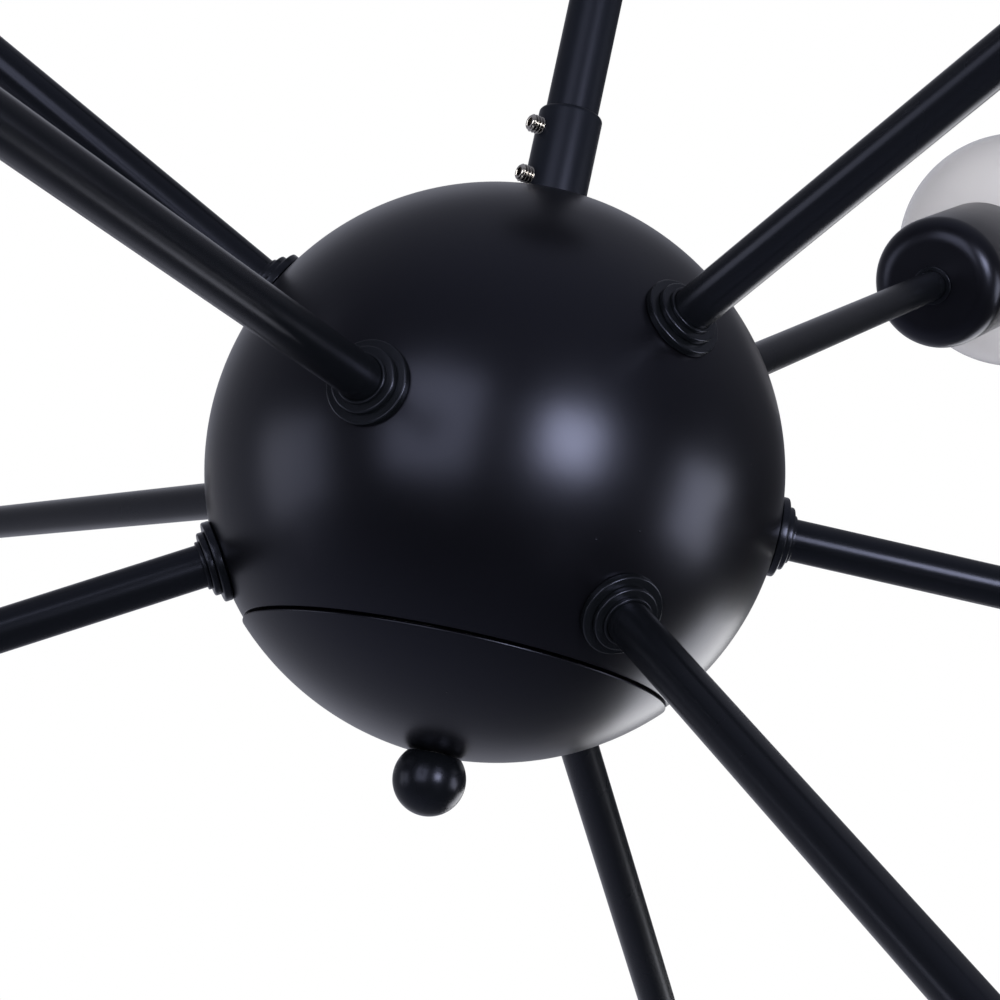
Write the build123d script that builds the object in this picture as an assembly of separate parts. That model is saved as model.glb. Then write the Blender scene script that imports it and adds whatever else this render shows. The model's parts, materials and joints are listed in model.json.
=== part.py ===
from build123d import *
from math import cos, radians, sin, sqrt
import os

# Sputnik chandelier: a hollow ball on a stem, with nine straight arms that carry globe bulbs.
# Millimetres. The origin is the middle of the ceiling face of the crossbar, +Z is up, and -Y is the front.
# The ball and all that is fixed to it are built about the ball's own centre, then lowered into place.
# An arm and all that is on it are built along +Z from the ball's centre, then turned to the arm's direction.

# ---------------------------------------------------------------- driving dimensions
RUNNING_GAP = 0.05          # radial clearance of a thread, shaft or screw in its hole
BODY_GAP = 0.3              # clearance between pieces that move past each other
OVERCUT = 1.0               # how far a hole's cut runs past the piece
NUT_WALL = 2.0              # from a nut's thread to its flats
NUT_CHAMFER = 0.8

# ball
BALL_RADIUS = 64.0
BALL_WALL = 1.5
COLLAR_SEAT_MARGIN = 1.7    # of the flat on top of the ball, past the stem collar
CAP_HEIGHT = 20.6           # from the foot of the full ball up to the upper shell's rim
SEAM_GAP = 0.35
CAP_RIM_PROUD = 0.6         # how far the cap's lip stands out past the upper shell's rim
CAP_LIP_RADIUS = 0.6        # the rolled edge of the cap
FINIAL_RADIUS = 8.0
FINIAL_SEAT_SINK = 2.6      # how much of the finial is cut away by its flat seat
FINIAL_HOLE_DEPTH = 10.0
FINIAL_SEAT_GAP = 0.1

# arms: degrees above the horizontal, and the turn about Z of each row's first arm
ROW_TILTS = {"upper": 27.5, "middle": 0.0, "lower": -31.0}
ROW_TURNS = {"upper": 303.1, "middle": 3.5, "lower": 304.3}
ARMS_PER_ROW = 3
ARM_LENGTH = 246.0          # from the ball's surface to the back of the cup
TUBE_RADIUS = 4.75
TUBE_WALL = 1.2
TUBE_SPARE = 4.5            # thread that shows inside the ball, past the lock nut
TUBE_END_GAP = 1.0          # from the tube's outer end to the holder's seat
LOCK_COLLAR_WALL = 0.6
LOCK_COLLAR_HEIGHT = 0.9
RING_SMALL_STEP = 1.7       # how far the small ring stands out past the lock collar
RING_SMALL_HEIGHT = 1.6
RING_LARGE_STEP = 1.9       # how far the large ring stands out past the small one
RING_LARGE_HEIGHT = 1.4     # above the ball's surface, on the arm's axis
RING_LARGE_LIFT = 0.25      # of the large ring's rim above the ball
RING_EDGE = 0.5             # rounding of the rims of both rings
LOCK_COLLAR_EDGE = 0.25
WASHER_WIDTH = 3.2
WASHER_THICKNESS = 1.0
ARM_NUT_WALL = 1.75
ARM_NUT_HEIGHT = 4.5

# lamp holder and cup, along the arm
HOLDER_FLOOR = 7.0
HOLDER_WALL = 3.9
HOLDER_LIP = 2.0            # of the holder past its screw shell
SHELL_WALL = 0.75
SHELL_START = 3.0           # above the holder's floor
SHELL_LENGTH = 24.0
CONTACT_WIDTH = 6.0
CONTACT_THICKNESS = 0.6
CUP_WALL = 1.2
CUP_ROOM = 2.1              # between the holder and the inside of the cup
CUP_OVERHANG = 7.3          # of the cup past the holder
CUP_BACK_ROUNDING = 7.5
CUP_COLLAR_WIDTH = 1.4
CUP_COLLAR_HEIGHT = 1.5

# bulb
BULB_CAP_RADIUS = 13.0      # 26 mm screw cap
BULB_CAP_LENGTH = 22.0
BULB_CAP_WALL = 0.5
BULB_TIP_RADIUS = 4.5
BULB_TIP_HEIGHT = 1.0
BULB_INSULATOR_HEIGHT = 4.0
BULB_RADIUS = 40.5          # 80 mm globe
BULB_GLASS = 0.8
BULB_NECK_STEP = 0.6        # how far the glass neck stands out past the screw cap
BULB_NECK_LENGTH = 1.8      # straight part of the neck
BULB_NECK_SWEEP = 18.0      # hollow curve between the neck and the globe
BULB_PLUG_LENGTH = 7.0      # glass inside the screw cap

# leads
LEAD_RADIUS = 1.0
LEAD_SPREAD = 1.2           # half the distance between the two leads of an arm
SPLICE_RADIUS = 9.0
SPLICE_HEIGHT = 30.0
SPLICE_ROUNDING = 2.2
SUPPLY_LEAD_COUNT = 3
SUPPLY_LEAD_SPREAD = 2.2
SUPPLY_LEAD_GAP = 3.0       # from the leads' ends up to the crossbar

# stem and its collar on the ball
STEM_RADIUS = 6.0
STEM_WALL = 1.2
STEM_LENGTH = 300.0
COLLAR_WALL = 1.25
COLLAR_LENGTH = 22.0
COLLAR_FLOOR = 1.4          # under the stem's foot
COLLAR_EDGE = 1.2
SPIGOT_RADIUS = 5.0
SPIGOT_BORE = 4.0
SPIGOT_NUT_HEIGHT = 4.0
SPIGOT_NUT_SPACE = 5.9      # between the nut under the ball and the nut on the bracket
SPIGOT_SPARE = 1.0          # thread that shows below the lowest nut
SET_SCREW_RADIUS = 2.08     # 8-32 thread
SET_SCREW_LENGTH = 3.9
SET_SCREW_HEIGHTS = {"upper": 16.4, "lower": 4.4}  # above the foot of the collar
SET_SCREW_TURN = 209.0      # direction that both set screws point in
SET_SCREW_PITCH = 0.79
SET_SCREW_THREAD_DEPTH = 0.35
SET_SCREW_CREST = (0.3, 0.45, 0.85)  # start, end and foot of a crest, as shares of a turn
SET_SCREW_SOCKET_FLATS = 2.0
SET_SCREW_SOCKET_DEPTH = 2.0

# bracket and cap stud inside the ball
BRACKET_RISE = 5.4          # of the bracket's foot above the seam
BRACKET_SPAN = 40.0
BRACKET_EDGE = 2.5          # of the plate, each side of the spigot
BRACKET_THICKNESS = 2.0
BRACKET_TURN = 33.5         # the legs stand between the arms
STUD_RADIUS = 3.0
STUD_NUT_HEIGHT = 4.0
STUD_TOP_SPARE = 2.0        # thread that shows above the upper stud nut
STUD_END_GAP = 0.9          # from the stud's end to the bottom of the finial's hole

# swivel
SWIVEL_WALL = 5.0           # around the stem
SWIVEL_RISE = 11.5          # centre of the swivel above the canopy's underside
SWIVEL_TOP_FLAT = 7.0       # above the swivel's centre
STEM_HEAD = 2.9             # top of the stem above the swivel's centre
GRUB_RADIUS = 1.5
GRUB_INSET = 0.8
SEAT_WIDTH = 4.0            # of the slip ring, past the swivel ball
SEAT_TOP = -4.0             # from the swivel's centre
SEAT_THROAT = -6.5

# crossbar and canopy
BOX_SCREW_SPACING = 88.9    # 3 1/2 in ceiling box
BOX_SLOT_LENGTH = 11.0
BOX_SLOT_RADIUS = 2.4
CROSSBAR_END = 2.05         # past each slot
CROSSBAR_WIDTH = 18.0
CROSSBAR_THICKNESS = 2.0
CROSSBAR_CORNER = 4.5
CROSSBAR_HOLE_RADIUS = 8.0
CANOPY_MARGIN = 8.0         # of the canopy past the crossbar's ends
CANOPY_DEPTH = 25.0
CANOPY_WALL = 1.2
CANOPY_TAPER = 2.0
CANOPY_ROUNDING = 6.0
CANOPY_HOLE_STEP = 0.5      # how much smaller than the swivel the canopy's hole is
CANOPY_STUD_SPACING = 66.0
CANOPY_STUD_RADIUS = 2.0
CAP_NUT_RADIUS = 5.0
CAP_NUT_HEIGHT = 7.0
CAP_NUT_WALL = 1.5
CAP_NUT_ROUNDING = 2.5
GROUND_SCREW_X = 19.0
GROUND_SCREW_RADIUS = 1.7
GROUND_HEAD_RADIUS = 3.6
GROUND_HEAD_HEIGHT = 2.2
GROUND_HEAD_ROUNDING = 1.1
GROUND_SLOT_WIDTH = 0.8
GROUND_SLOT_DEPTH = 0.8

# ---------------------------------------------------------------- sizes and places that follow from these
# stem collar, on the flat on top of the ball
STEM_BORE = STEM_RADIUS - STEM_WALL
STEM_HOLE = STEM_RADIUS + RUNNING_GAP
COLLAR_RADIUS = STEM_HOLE + COLLAR_WALL
COLLAR_SEAT_RADIUS = COLLAR_RADIUS + COLLAR_SEAT_MARGIN
COLLAR_SEAT_Z = sqrt(BALL_RADIUS**2 - COLLAR_SEAT_RADIUS**2)
COLLAR_TOP = COLLAR_SEAT_Z + COLLAR_LENGTH
STEM_FOOT = COLLAR_SEAT_Z + COLLAR_FLOOR

# ball, and the bracket inside it
BALL_INNER = BALL_RADIUS - BALL_WALL
SEAM_DROP = BALL_RADIUS - CAP_HEIGHT
FINIAL_SEAT = -BALL_RADIUS - FINIAL_SEAT_GAP
STUD_FOOT = FINIAL_SEAT - FINIAL_HOLE_DEPTH + STUD_END_GAP
STUD_HOLE = STUD_RADIUS + RUNNING_GAP
SPIGOT_HOLE = SPIGOT_RADIUS + RUNNING_GAP
BRACKET_TOP = COLLAR_SEAT_Z - BALL_WALL - 2 * SPIGOT_NUT_HEIGHT - SPIGOT_NUT_SPACE
BRACKET_BOTTOM = BRACKET_RISE - SEAM_DROP
BRACKET_WIDTH = 2 * (SPIGOT_RADIUS + BRACKET_EDGE)
SPIGOT_END = BRACKET_TOP - BRACKET_THICKNESS - SPIGOT_NUT_HEIGHT - SPIGOT_SPARE

# arm, from the ball's centre outwards
TUBE_HOLE = TUBE_RADIUS + RUNNING_GAP
TUBE_BORE = TUBE_RADIUS - TUBE_WALL
WASHER_RADIUS = TUBE_HOLE + WASHER_WIDTH
WASHER_TOP = sqrt(BALL_INNER**2 - WASHER_RADIUS**2)
ARM_NUT_FLATS = 2 * (TUBE_RADIUS + ARM_NUT_WALL)
ARM_NUT_TOP = WASHER_TOP - WASHER_THICKNESS
TUBE_START = ARM_NUT_TOP - ARM_NUT_HEIGHT - TUBE_SPARE
LOCK_COLLAR_RADIUS = TUBE_HOLE + LOCK_COLLAR_WALL
RING_SMALL_RADIUS = LOCK_COLLAR_RADIUS + RING_SMALL_STEP
RING_LARGE_RADIUS = RING_SMALL_RADIUS + RING_LARGE_STEP
RING_LARGE_FOOT = sqrt(BALL_RADIUS**2 - RING_LARGE_RADIUS**2)
RING_LARGE_TOP = BALL_RADIUS + RING_LARGE_HEIGHT
RING_SMALL_TOP = RING_LARGE_TOP + RING_SMALL_HEIGHT
LOCK_COLLAR_TOP = RING_SMALL_TOP + LOCK_COLLAR_HEIGHT

# lamp cup, holder and bulb, from the ball's centre outwards
SHELL_INNER = BULB_CAP_RADIUS + BODY_GAP
SHELL_OUTER = SHELL_INNER + SHELL_WALL
HOLDER_BORE = SHELL_OUTER + RUNNING_GAP
HOLDER_RADIUS = HOLDER_BORE + HOLDER_WALL
HOLDER_LENGTH = HOLDER_FLOOR + SHELL_START + SHELL_LENGTH + HOLDER_LIP
CUP_INNER = HOLDER_RADIUS + CUP_ROOM
CUP_RADIUS = CUP_INNER + CUP_WALL
CUP_LENGTH = CUP_WALL + ARM_NUT_HEIGHT + HOLDER_LENGTH + CUP_OVERHANG
CUP_START = BALL_RADIUS + ARM_LENGTH
CUP_END = CUP_START + CUP_LENGTH
CUP_FLOOR = CUP_START + CUP_WALL
CUP_COLLAR_RADIUS = TUBE_HOLE + CUP_COLLAR_WIDTH
HOLDER_START = CUP_FLOOR + ARM_NUT_HEIGHT
HOLDER_SEAT = HOLDER_START + HOLDER_FLOOR
HOLDER_END = HOLDER_START + HOLDER_LENGTH
TUBE_END = HOLDER_SEAT - TUBE_END_GAP
BULB_START = HOLDER_SEAT + 2 * CONTACT_THICKNESS + BODY_GAP
BULB_CAP_START = BULB_START + BULB_TIP_HEIGHT + BULB_INSULATOR_HEIGHT
BULB_CAP_END = BULB_CAP_START + BULB_CAP_LENGTH
BULB_NECK_RADIUS = BULB_CAP_RADIUS + BULB_NECK_STEP
BULB_SWEEP_RADIUS = BULB_NECK_RADIUS + BULB_NECK_SWEEP
BULB_SWEEP_Z = BULB_CAP_END + BULB_NECK_LENGTH
BULB_CENTRE = BULB_SWEEP_Z + sqrt((BULB_RADIUS + BULB_NECK_SWEEP) ** 2 - BULB_SWEEP_RADIUS**2)

# swivel and canopy
SWIVEL_RADIUS = STEM_RADIUS + SWIVEL_WALL
SWIVEL_DROP = CANOPY_DEPTH - SWIVEL_RISE
SEAT_RADIUS = SWIVEL_RADIUS + SEAT_WIDTH
SEAT_FOOT = SWIVEL_DROP - CANOPY_DEPTH + CANOPY_WALL + BODY_GAP
CROSSBAR_LENGTH = BOX_SCREW_SPACING + BOX_SLOT_LENGTH + 2 * CROSSBAR_END
CANOPY_RADIUS = CROSSBAR_LENGTH / 2 + CANOPY_MARGIN
CANOPY_HOLE_RADIUS = SWIVEL_RADIUS - CANOPY_HOLE_STEP
CAP_NUT_FOOT = -CANOPY_DEPTH - CAP_NUT_HEIGHT
CAP_NUT_CEILING = CAP_NUT_FOOT + CAP_NUT_WALL
STUD_SIDES = (-CANOPY_STUD_SPACING / 2, CANOPY_STUD_SPACING / 2)
BALL_DROP = SWIVEL_DROP - STEM_HEAD + STEM_LENGTH + STEM_FOOT

UP = (Align.CENTER, Align.CENTER, Align.MIN)


# ---------------------------------------------------------------- helpers
def rod(radius, low, high):
    """A cylinder on the Z axis between two heights."""
    return Pos(0, 0, low) * Cylinder(radius, high - low, align=UP)


def ring(outer, inner, low, high):
    """A flat ring on the Z axis between two heights."""
    return rod(outer, low, high) - rod(inner, low - OVERCUT, high + OVERCUT)


def lathe(*edges):
    """The solid turned from a closed outline of (radius, height) edges."""
    return revolve(Plane.XZ * make_face(Curve() + list(edges)), Axis.Z)


def outline(*points):
    """Straight edges through (radius, height) points."""
    return Polyline(*points)


def sphere_arc(radius, centre_z, start, end):
    """The part of a circle centred on the axis between two points, by way of the middle of the two directions."""
    mid = Vector(start[0] + end[0], start[1] + end[1] - 2 * centre_z).normalized() * radius
    return ThreePointArc(start, (mid.X, mid.Y + centre_z), end)


def at_height(radius, z, centre_z=0.0):
    """The point of a sphere's outline at a height."""
    return (sqrt(radius**2 - (z - centre_z) ** 2), z)


def at_foot(radius, r, centre_z):
    """The point of a sphere's outline at a distance from the axis, below its centre."""
    return (r, centre_z - sqrt(radius**2 - r**2))


def hex_nut(flats, bore, low, high):
    """A hexagon nut with its corners chamfered at both ends."""
    body = Pos(0, 0, low) * extrude(RegularPolygon(flats / 2, 6, major_radius=False), high - low)
    turned = rod(flats / sqrt(3) + NUT_CHAMFER / 4, low, high)
    turned = chamfer(turned.edges().filter_by(GeomType.CIRCLE), NUT_CHAMFER)
    return (body & turned) - rod(bore, low - OVERCUT, high + OVERCUT)


def rounded_ring(outer, inner, low, high, edge):
    """A ring with its rim rounded above and below."""
    body = rod(outer, low, high)
    return fillet(body.edges().filter_by(GeomType.CIRCLE), edge) - rod(inner, low - OVERCUT, high + OVERCUT)


def arm_places():
    """The turn and tilt of each arm, upper row first."""
    return [
        Rot(0, 0, ROW_TURNS[row] + 360 / ARMS_PER_ROW * i) * Rot(0, 90 - tilt, 0)
        for row, tilt in ROW_TILTS.items()
        for i in range(ARMS_PER_ROW)
    ]


def set_screw_place(height):
    """From a screw drawn along +Z out of the stem's axis to its hole in the collar."""
    return Pos(0, 0, COLLAR_SEAT_Z + height) * Rot(0, 0, SET_SCREW_TURN) * Rot(0, 90, 0)


def in_hub(shape):
    """From the ball's own frame to the ceiling's."""
    return Pos(0, 0, -BALL_DROP) * shape


# ---------------------------------------------------------------- ball
def hub_upper_shell():
    rim = at_height(BALL_RADIUS, -SEAM_DROP)
    rim_inner = at_height(BALL_INNER, -SEAM_DROP)
    seat = (COLLAR_SEAT_RADIUS, COLLAR_SEAT_Z)
    seat_inner = at_height(BALL_INNER, COLLAR_SEAT_Z - BALL_WALL)
    shell = lathe(
        sphere_arc(BALL_RADIUS, 0, rim, seat),
        outline(seat, (SPIGOT_HOLE, seat[1]), (SPIGOT_HOLE, seat_inner[1]), seat_inner),
        sphere_arc(BALL_INNER, 0, seat_inner, rim_inner),
        outline(rim_inner, rim),
    )
    for place in arm_places():
        shell -= place * rod(TUBE_HOLE, WASHER_TOP - OVERCUT, BALL_RADIUS + OVERCUT)
    return shell


def hub_lower_cap():
    """A shallow dish with a rolled lip, a little larger than the shell's rim."""
    top = -SEAM_DROP - SEAM_GAP
    rim_radius = at_height(BALL_RADIUS, -SEAM_DROP)[0] + CAP_RIM_PROUD
    depth = BALL_RADIUS + top
    dish = (rim_radius**2 + depth**2) / (2 * depth)
    centre = -BALL_RADIUS + dish
    hole = STUD_RADIUS + BODY_GAP
    lip = at_height(dish, top - CAP_LIP_RADIUS, centre)
    inner_lip = at_height(dish - BALL_WALL, top - CAP_LIP_RADIUS, centre)
    middle = ((lip[0] + inner_lip[0]) / 2, top)
    foot = at_foot(dish, hole, centre)
    foot_inner = at_foot(dish - BALL_WALL, hole, centre)
    return lathe(
        sphere_arc(dish, centre, lip, foot),
        outline(foot, foot_inner),
        sphere_arc(dish - BALL_WALL, centre, foot_inner, inner_lip),
        ThreePointArc(inner_lip, middle, lip),
    )


def finial_ball():
    centre = FINIAL_SEAT - (FINIAL_RADIUS - FINIAL_SEAT_SINK)
    body = Pos(0, 0, centre) * Sphere(FINIAL_RADIUS)
    body -= rod(FINIAL_RADIUS, FINIAL_SEAT, FINIAL_SEAT + FINIAL_RADIUS)
    return body - rod(STUD_HOLE, FINIAL_SEAT - FINIAL_HOLE_DEPTH, FINIAL_SEAT + OVERCUT)


def hub_bracket():
    """A flat steel loop that hangs on the collar's spigot and holds the cap's stud."""
    height = BRACKET_TOP - BRACKET_BOTTOM
    loop = Box(BRACKET_SPAN, BRACKET_WIDTH, height)
    loop = fillet(loop.edges().filter_by(Axis.Y), BRACKET_THICKNESS)
    loop -= Box(BRACKET_SPAN - 2 * BRACKET_THICKNESS, BRACKET_WIDTH + OVERCUT, height - 2 * BRACKET_THICKNESS)
    loop = Pos(0, 0, (BRACKET_TOP + BRACKET_BOTTOM) / 2) * loop
    loop -= rod(SPIGOT_HOLE, BRACKET_TOP - BRACKET_THICKNESS - OVERCUT, BRACKET_TOP + OVERCUT)
    loop -= rod(STUD_HOLE, BRACKET_BOTTOM - OVERCUT, BRACKET_BOTTOM + BRACKET_THICKNESS + OVERCUT)
    return Rot(0, 0, BRACKET_TURN) * loop


def collar_nuts():
    """One nut under the ball's top, and one each side of the bracket's upper plate."""
    tops = (COLLAR_SEAT_Z - BALL_WALL, BRACKET_TOP + SPIGOT_NUT_HEIGHT, BRACKET_TOP - BRACKET_THICKNESS)
    flats = 2 * (SPIGOT_RADIUS + NUT_WALL)
    return [hex_nut(flats, SPIGOT_HOLE, top - SPIGOT_NUT_HEIGHT, top) for top in tops]


def stud_nuts():
    """One nut each side of the bracket's lower plate."""
    tops = (BRACKET_BOTTOM + BRACKET_THICKNESS + STUD_NUT_HEIGHT, BRACKET_BOTTOM)
    flats = 2 * (STUD_RADIUS + NUT_WALL)
    return [hex_nut(flats, STUD_HOLE, top - STUD_NUT_HEIGHT, top) for top in tops]


def cap_stud():
    top = BRACKET_BOTTOM + BRACKET_THICKNESS + STUD_NUT_HEIGHT + STUD_TOP_SPARE
    return rod(STUD_RADIUS, STUD_FOOT, top)


# ---------------------------------------------------------------- arms
def arm_tube():
    return ring(TUBE_RADIUS, TUBE_BORE, TUBE_START, TUBE_END)


def arm_ring_large():
    """The lowest of the three steps at an arm's foot, hollowed to the ball under its middle."""
    low = RING_LARGE_FOOT + RING_LARGE_LIFT
    return rounded_ring(RING_LARGE_RADIUS, TUBE_HOLE, low, RING_LARGE_TOP, RING_EDGE) - Sphere(BALL_RADIUS)


def arm_ring_small():
    return rounded_ring(RING_SMALL_RADIUS, TUBE_HOLE, RING_LARGE_TOP, RING_SMALL_TOP, RING_EDGE)


def arm_lock_collar():
    return rounded_ring(LOCK_COLLAR_RADIUS, TUBE_HOLE, RING_SMALL_TOP, LOCK_COLLAR_TOP, LOCK_COLLAR_EDGE)


def arm_lock_washer():
    return ring(WASHER_RADIUS, TUBE_HOLE, ARM_NUT_TOP, WASHER_TOP)


def arm_lock_nut():
    return hex_nut(ARM_NUT_FLATS, TUBE_HOLE, ARM_NUT_TOP - ARM_NUT_HEIGHT, ARM_NUT_TOP)


def socket_cup():
    body = rod(CUP_RADIUS, CUP_START, CUP_END)
    body = fillet(body.edges().group_by(Axis.Z)[0], CUP_BACK_ROUNDING)
    hollow = rod(CUP_INNER, CUP_FLOOR, CUP_END + OVERCUT)
    hollow = fillet(hollow.edges().group_by(Axis.Z)[0], CUP_BACK_ROUNDING - CUP_WALL)
    return body - hollow - rod(TUBE_HOLE, CUP_START - OVERCUT, CUP_FLOOR + OVERCUT)


def cup_end_collar():
    return ring(CUP_COLLAR_RADIUS, TUBE_HOLE, CUP_START - CUP_COLLAR_HEIGHT, CUP_START)


def cup_lock_nut():
    return hex_nut(ARM_NUT_FLATS, TUBE_HOLE, CUP_FLOOR, HOLDER_START)


def lamp_holder():
    body = ring(HOLDER_RADIUS, TUBE_HOLE, HOLDER_START, HOLDER_END)
    return body - rod(HOLDER_BORE, HOLDER_SEAT, HOLDER_END + OVERCUT)


def lamp_screw_shell():
    low = HOLDER_SEAT + SHELL_START
    return ring(SHELL_OUTER, SHELL_INNER, low, low + SHELL_LENGTH)


def lamp_centre_contact():
    """A sprung leaf on the holder's floor, with a raised pad in the middle."""
    pad_low = HOLDER_SEAT + CONTACT_THICKNESS
    leaf = rod(SHELL_OUTER, HOLDER_SEAT, pad_low)
    leaf &= Pos(0, 0, HOLDER_SEAT) * Box(2 * SHELL_OUTER, CONTACT_WIDTH, 2 * CONTACT_THICKNESS, align=UP)
    return leaf + rod(CONTACT_WIDTH / 2, pad_low, pad_low + CONTACT_THICKNESS)


def arm_leads(tilt):
    """The two leads of one arm, from the splice to the lamp holder."""
    start = (SPLICE_RADIUS + BODY_GAP + LEAD_RADIUS * abs(sin(radians(tilt)))) / cos(radians(tilt))
    lead = rod(LEAD_RADIUS, start, HOLDER_SEAT - BODY_GAP)
    return [Pos(0, side * LEAD_SPREAD, 0) * lead for side in (-1, 1)]


def bulb_envelope(wall):
    """The closed outline of the glass, drawn in by a wall: a globe that sweeps down into a neck."""
    neck = BULB_NECK_RADIUS - wall
    globe = BULB_RADIUS - wall
    sweep = BULB_NECK_SWEEP + wall
    plug = BULB_CAP_RADIUS - BULB_CAP_WALL - RUNNING_GAP - wall
    foot = BULB_CAP_END - BULB_PLUG_LENGTH + wall
    shoulder = BULB_CAP_END + wall
    top = (0, BULB_CENTRE + globe)
    centre = Vector(0, BULB_CENTRE)
    pivot = Vector(BULB_SWEEP_RADIUS, BULB_SWEEP_Z)
    start = Vector(neck, BULB_SWEEP_Z)
    join = pivot + (centre - pivot) * (sweep / (globe + sweep))
    middle = pivot + ((start + join) / 2 - pivot).normalized() * sweep
    return lathe(
        outline(top, (0, foot), (plug, foot), (plug, shoulder), (neck, shoulder), (start.X, start.Y)),
        ThreePointArc((start.X, start.Y), (middle.X, middle.Y), (join.X, join.Y)),
        sphere_arc(globe, BULB_CENTRE, (join.X, join.Y), top),
    )


def bulb():
    """Glass globe, metal screw cap, insulator and contact."""
    glass = bulb_envelope(0) - bulb_envelope(BULB_GLASS)
    cap_bore = BULB_CAP_RADIUS - BULB_CAP_WALL
    screw_cap = ring(BULB_CAP_RADIUS, cap_bore, BULB_CAP_START, BULB_CAP_END)
    insulator_low = BULB_START + BULB_TIP_HEIGHT
    insulator = Cone(BULB_TIP_RADIUS, cap_bore, BULB_INSULATOR_HEIGHT, align=UP)
    tip = rod(BULB_TIP_RADIUS, BULB_START, insulator_low)
    return [glass, screw_cap, Pos(0, 0, insulator_low) * insulator, tip]


# ---------------------------------------------------------------- stem
def stem_collar():
    """A sleeve for the stem on top of the ball, with a threaded spigot that goes down into it."""
    body = rod(COLLAR_RADIUS, COLLAR_SEAT_Z, COLLAR_TOP)
    body = fillet(body.edges().group_by(Axis.Z)[-1], min(COLLAR_EDGE, COLLAR_WALL))
    body += rod(SPIGOT_RADIUS, SPIGOT_END, COLLAR_SEAT_Z)
    body -= rod(SPIGOT_BORE, SPIGOT_END - OVERCUT, COLLAR_TOP)
    body -= rod(STEM_HOLE, STEM_FOOT, COLLAR_TOP + OVERCUT)
    for height in SET_SCREW_HEIGHTS.values():
        body -= set_screw_place(height) * rod(SET_SCREW_RADIUS + RUNNING_GAP, 0, COLLAR_RADIUS + OVERCUT)
    return body


def set_screw():
    """A socket set screw: thread rings all along, a chamfer at each end and a hexagon socket."""
    low = STEM_RADIUS + BODY_GAP
    high = low + SET_SCREW_LENGTH
    core = SET_SCREW_RADIUS - SET_SCREW_THREAD_DEPTH
    threaded = SET_SCREW_LENGTH - 2 * SET_SCREW_THREAD_DEPTH
    turns = int(threaded / SET_SCREW_PITCH)
    points = [(0, low), (core, low)]
    for turn in range(turns):
        crest, crest_end, foot = (
            low + SET_SCREW_THREAD_DEPTH + (turn + share) * threaded / turns for share in SET_SCREW_CREST
        )
        points += [(SET_SCREW_RADIUS, crest), (SET_SCREW_RADIUS, crest_end), (core, foot)]
    points += [(core, high), (0, high), (0, low)]
    socket = extrude(RegularPolygon(SET_SCREW_SOCKET_FLATS / 2, 6, major_radius=False), -SET_SCREW_SOCKET_DEPTH)
    return lathe(outline(*points)) - Pos(0, 0, high) * socket


def stem_tube():
    return ring(STEM_RADIUS, STEM_BORE, STEM_FOOT, STEM_FOOT + STEM_LENGTH)


def supply_leads():
    """The leads that run from the splice up through the stem to the ceiling box."""
    top = BALL_DROP - CROSSBAR_THICKNESS - SUPPLY_LEAD_GAP
    lead = rod(LEAD_RADIUS, SPLICE_HEIGHT / 2 + BODY_GAP, top)
    turn = 360 / SUPPLY_LEAD_COUNT
    return [Rot(0, 0, turn * i) * Pos(SUPPLY_LEAD_SPREAD, 0, 0) * lead for i in range(SUPPLY_LEAD_COUNT)]


def lead_splice():
    """The taped bundle where all the leads are joined."""
    body = rod(SPLICE_RADIUS, -SPLICE_HEIGHT / 2, SPLICE_HEIGHT / 2)
    return fillet(body.edges().filter_by(GeomType.CIRCLE), SPLICE_ROUNDING)


# ---------------------------------------------------------------- swivel, canopy and crossbar
def swivel_ball():
    """A ball on the stem's head, with a flat top, a bore for the leads and a hole for its grub screw."""
    body = Sphere(SWIVEL_RADIUS)
    body -= rod(SWIVEL_RADIUS, SWIVEL_TOP_FLAT, SWIVEL_RADIUS + OVERCUT)
    body -= rod(STEM_HOLE, -SWIVEL_RADIUS - OVERCUT, STEM_HEAD)
    body -= rod(SPIGOT_BORE, 0, SWIVEL_RADIUS)
    return body - Rot(0, 90, 0) * rod(GRUB_RADIUS + RUNNING_GAP, 0, SWIVEL_RADIUS + OVERCUT)


def swivel_grub_screw():
    return Rot(0, 90, 0) * rod(GRUB_RADIUS, STEM_HOLE, SWIVEL_RADIUS - GRUB_INSET)


def swivel_seat_ring():
    """A slip ring between the swivel ball and the canopy, hollowed to the ball."""
    hollow = SWIVEL_RADIUS + BODY_GAP
    top = at_height(hollow, SEAT_TOP)
    throat = at_height(hollow, SEAT_THROAT)
    return lathe(
        outline(top, (SEAT_RADIUS, SEAT_TOP), (SEAT_RADIUS, SEAT_FOOT), (CANOPY_HOLE_RADIUS, SEAT_FOOT), throat),
        sphere_arc(hollow, 0, throat, top),
    )


def canopy_form(wall):
    """The canopy's dish, drawn in by a wall."""
    top_radius = CANOPY_RADIUS - wall
    depth = CANOPY_DEPTH - wall
    dish = Pos(0, 0, -depth) * Cone(top_radius - CANOPY_TAPER, top_radius, depth, align=UP)
    return fillet(dish.edges().group_by(Axis.Z)[0], CANOPY_ROUNDING - wall)


def canopy():
    body = canopy_form(0) - canopy_form(CANOPY_WALL) - rod(CANOPY_HOLE_RADIUS, -CANOPY_DEPTH - OVERCUT, 0)
    for x in STUD_SIDES:
        body -= Pos(x, 0, 0) * rod(CANOPY_STUD_RADIUS + BODY_GAP, -CANOPY_DEPTH - OVERCUT, 0)
    return body


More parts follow.
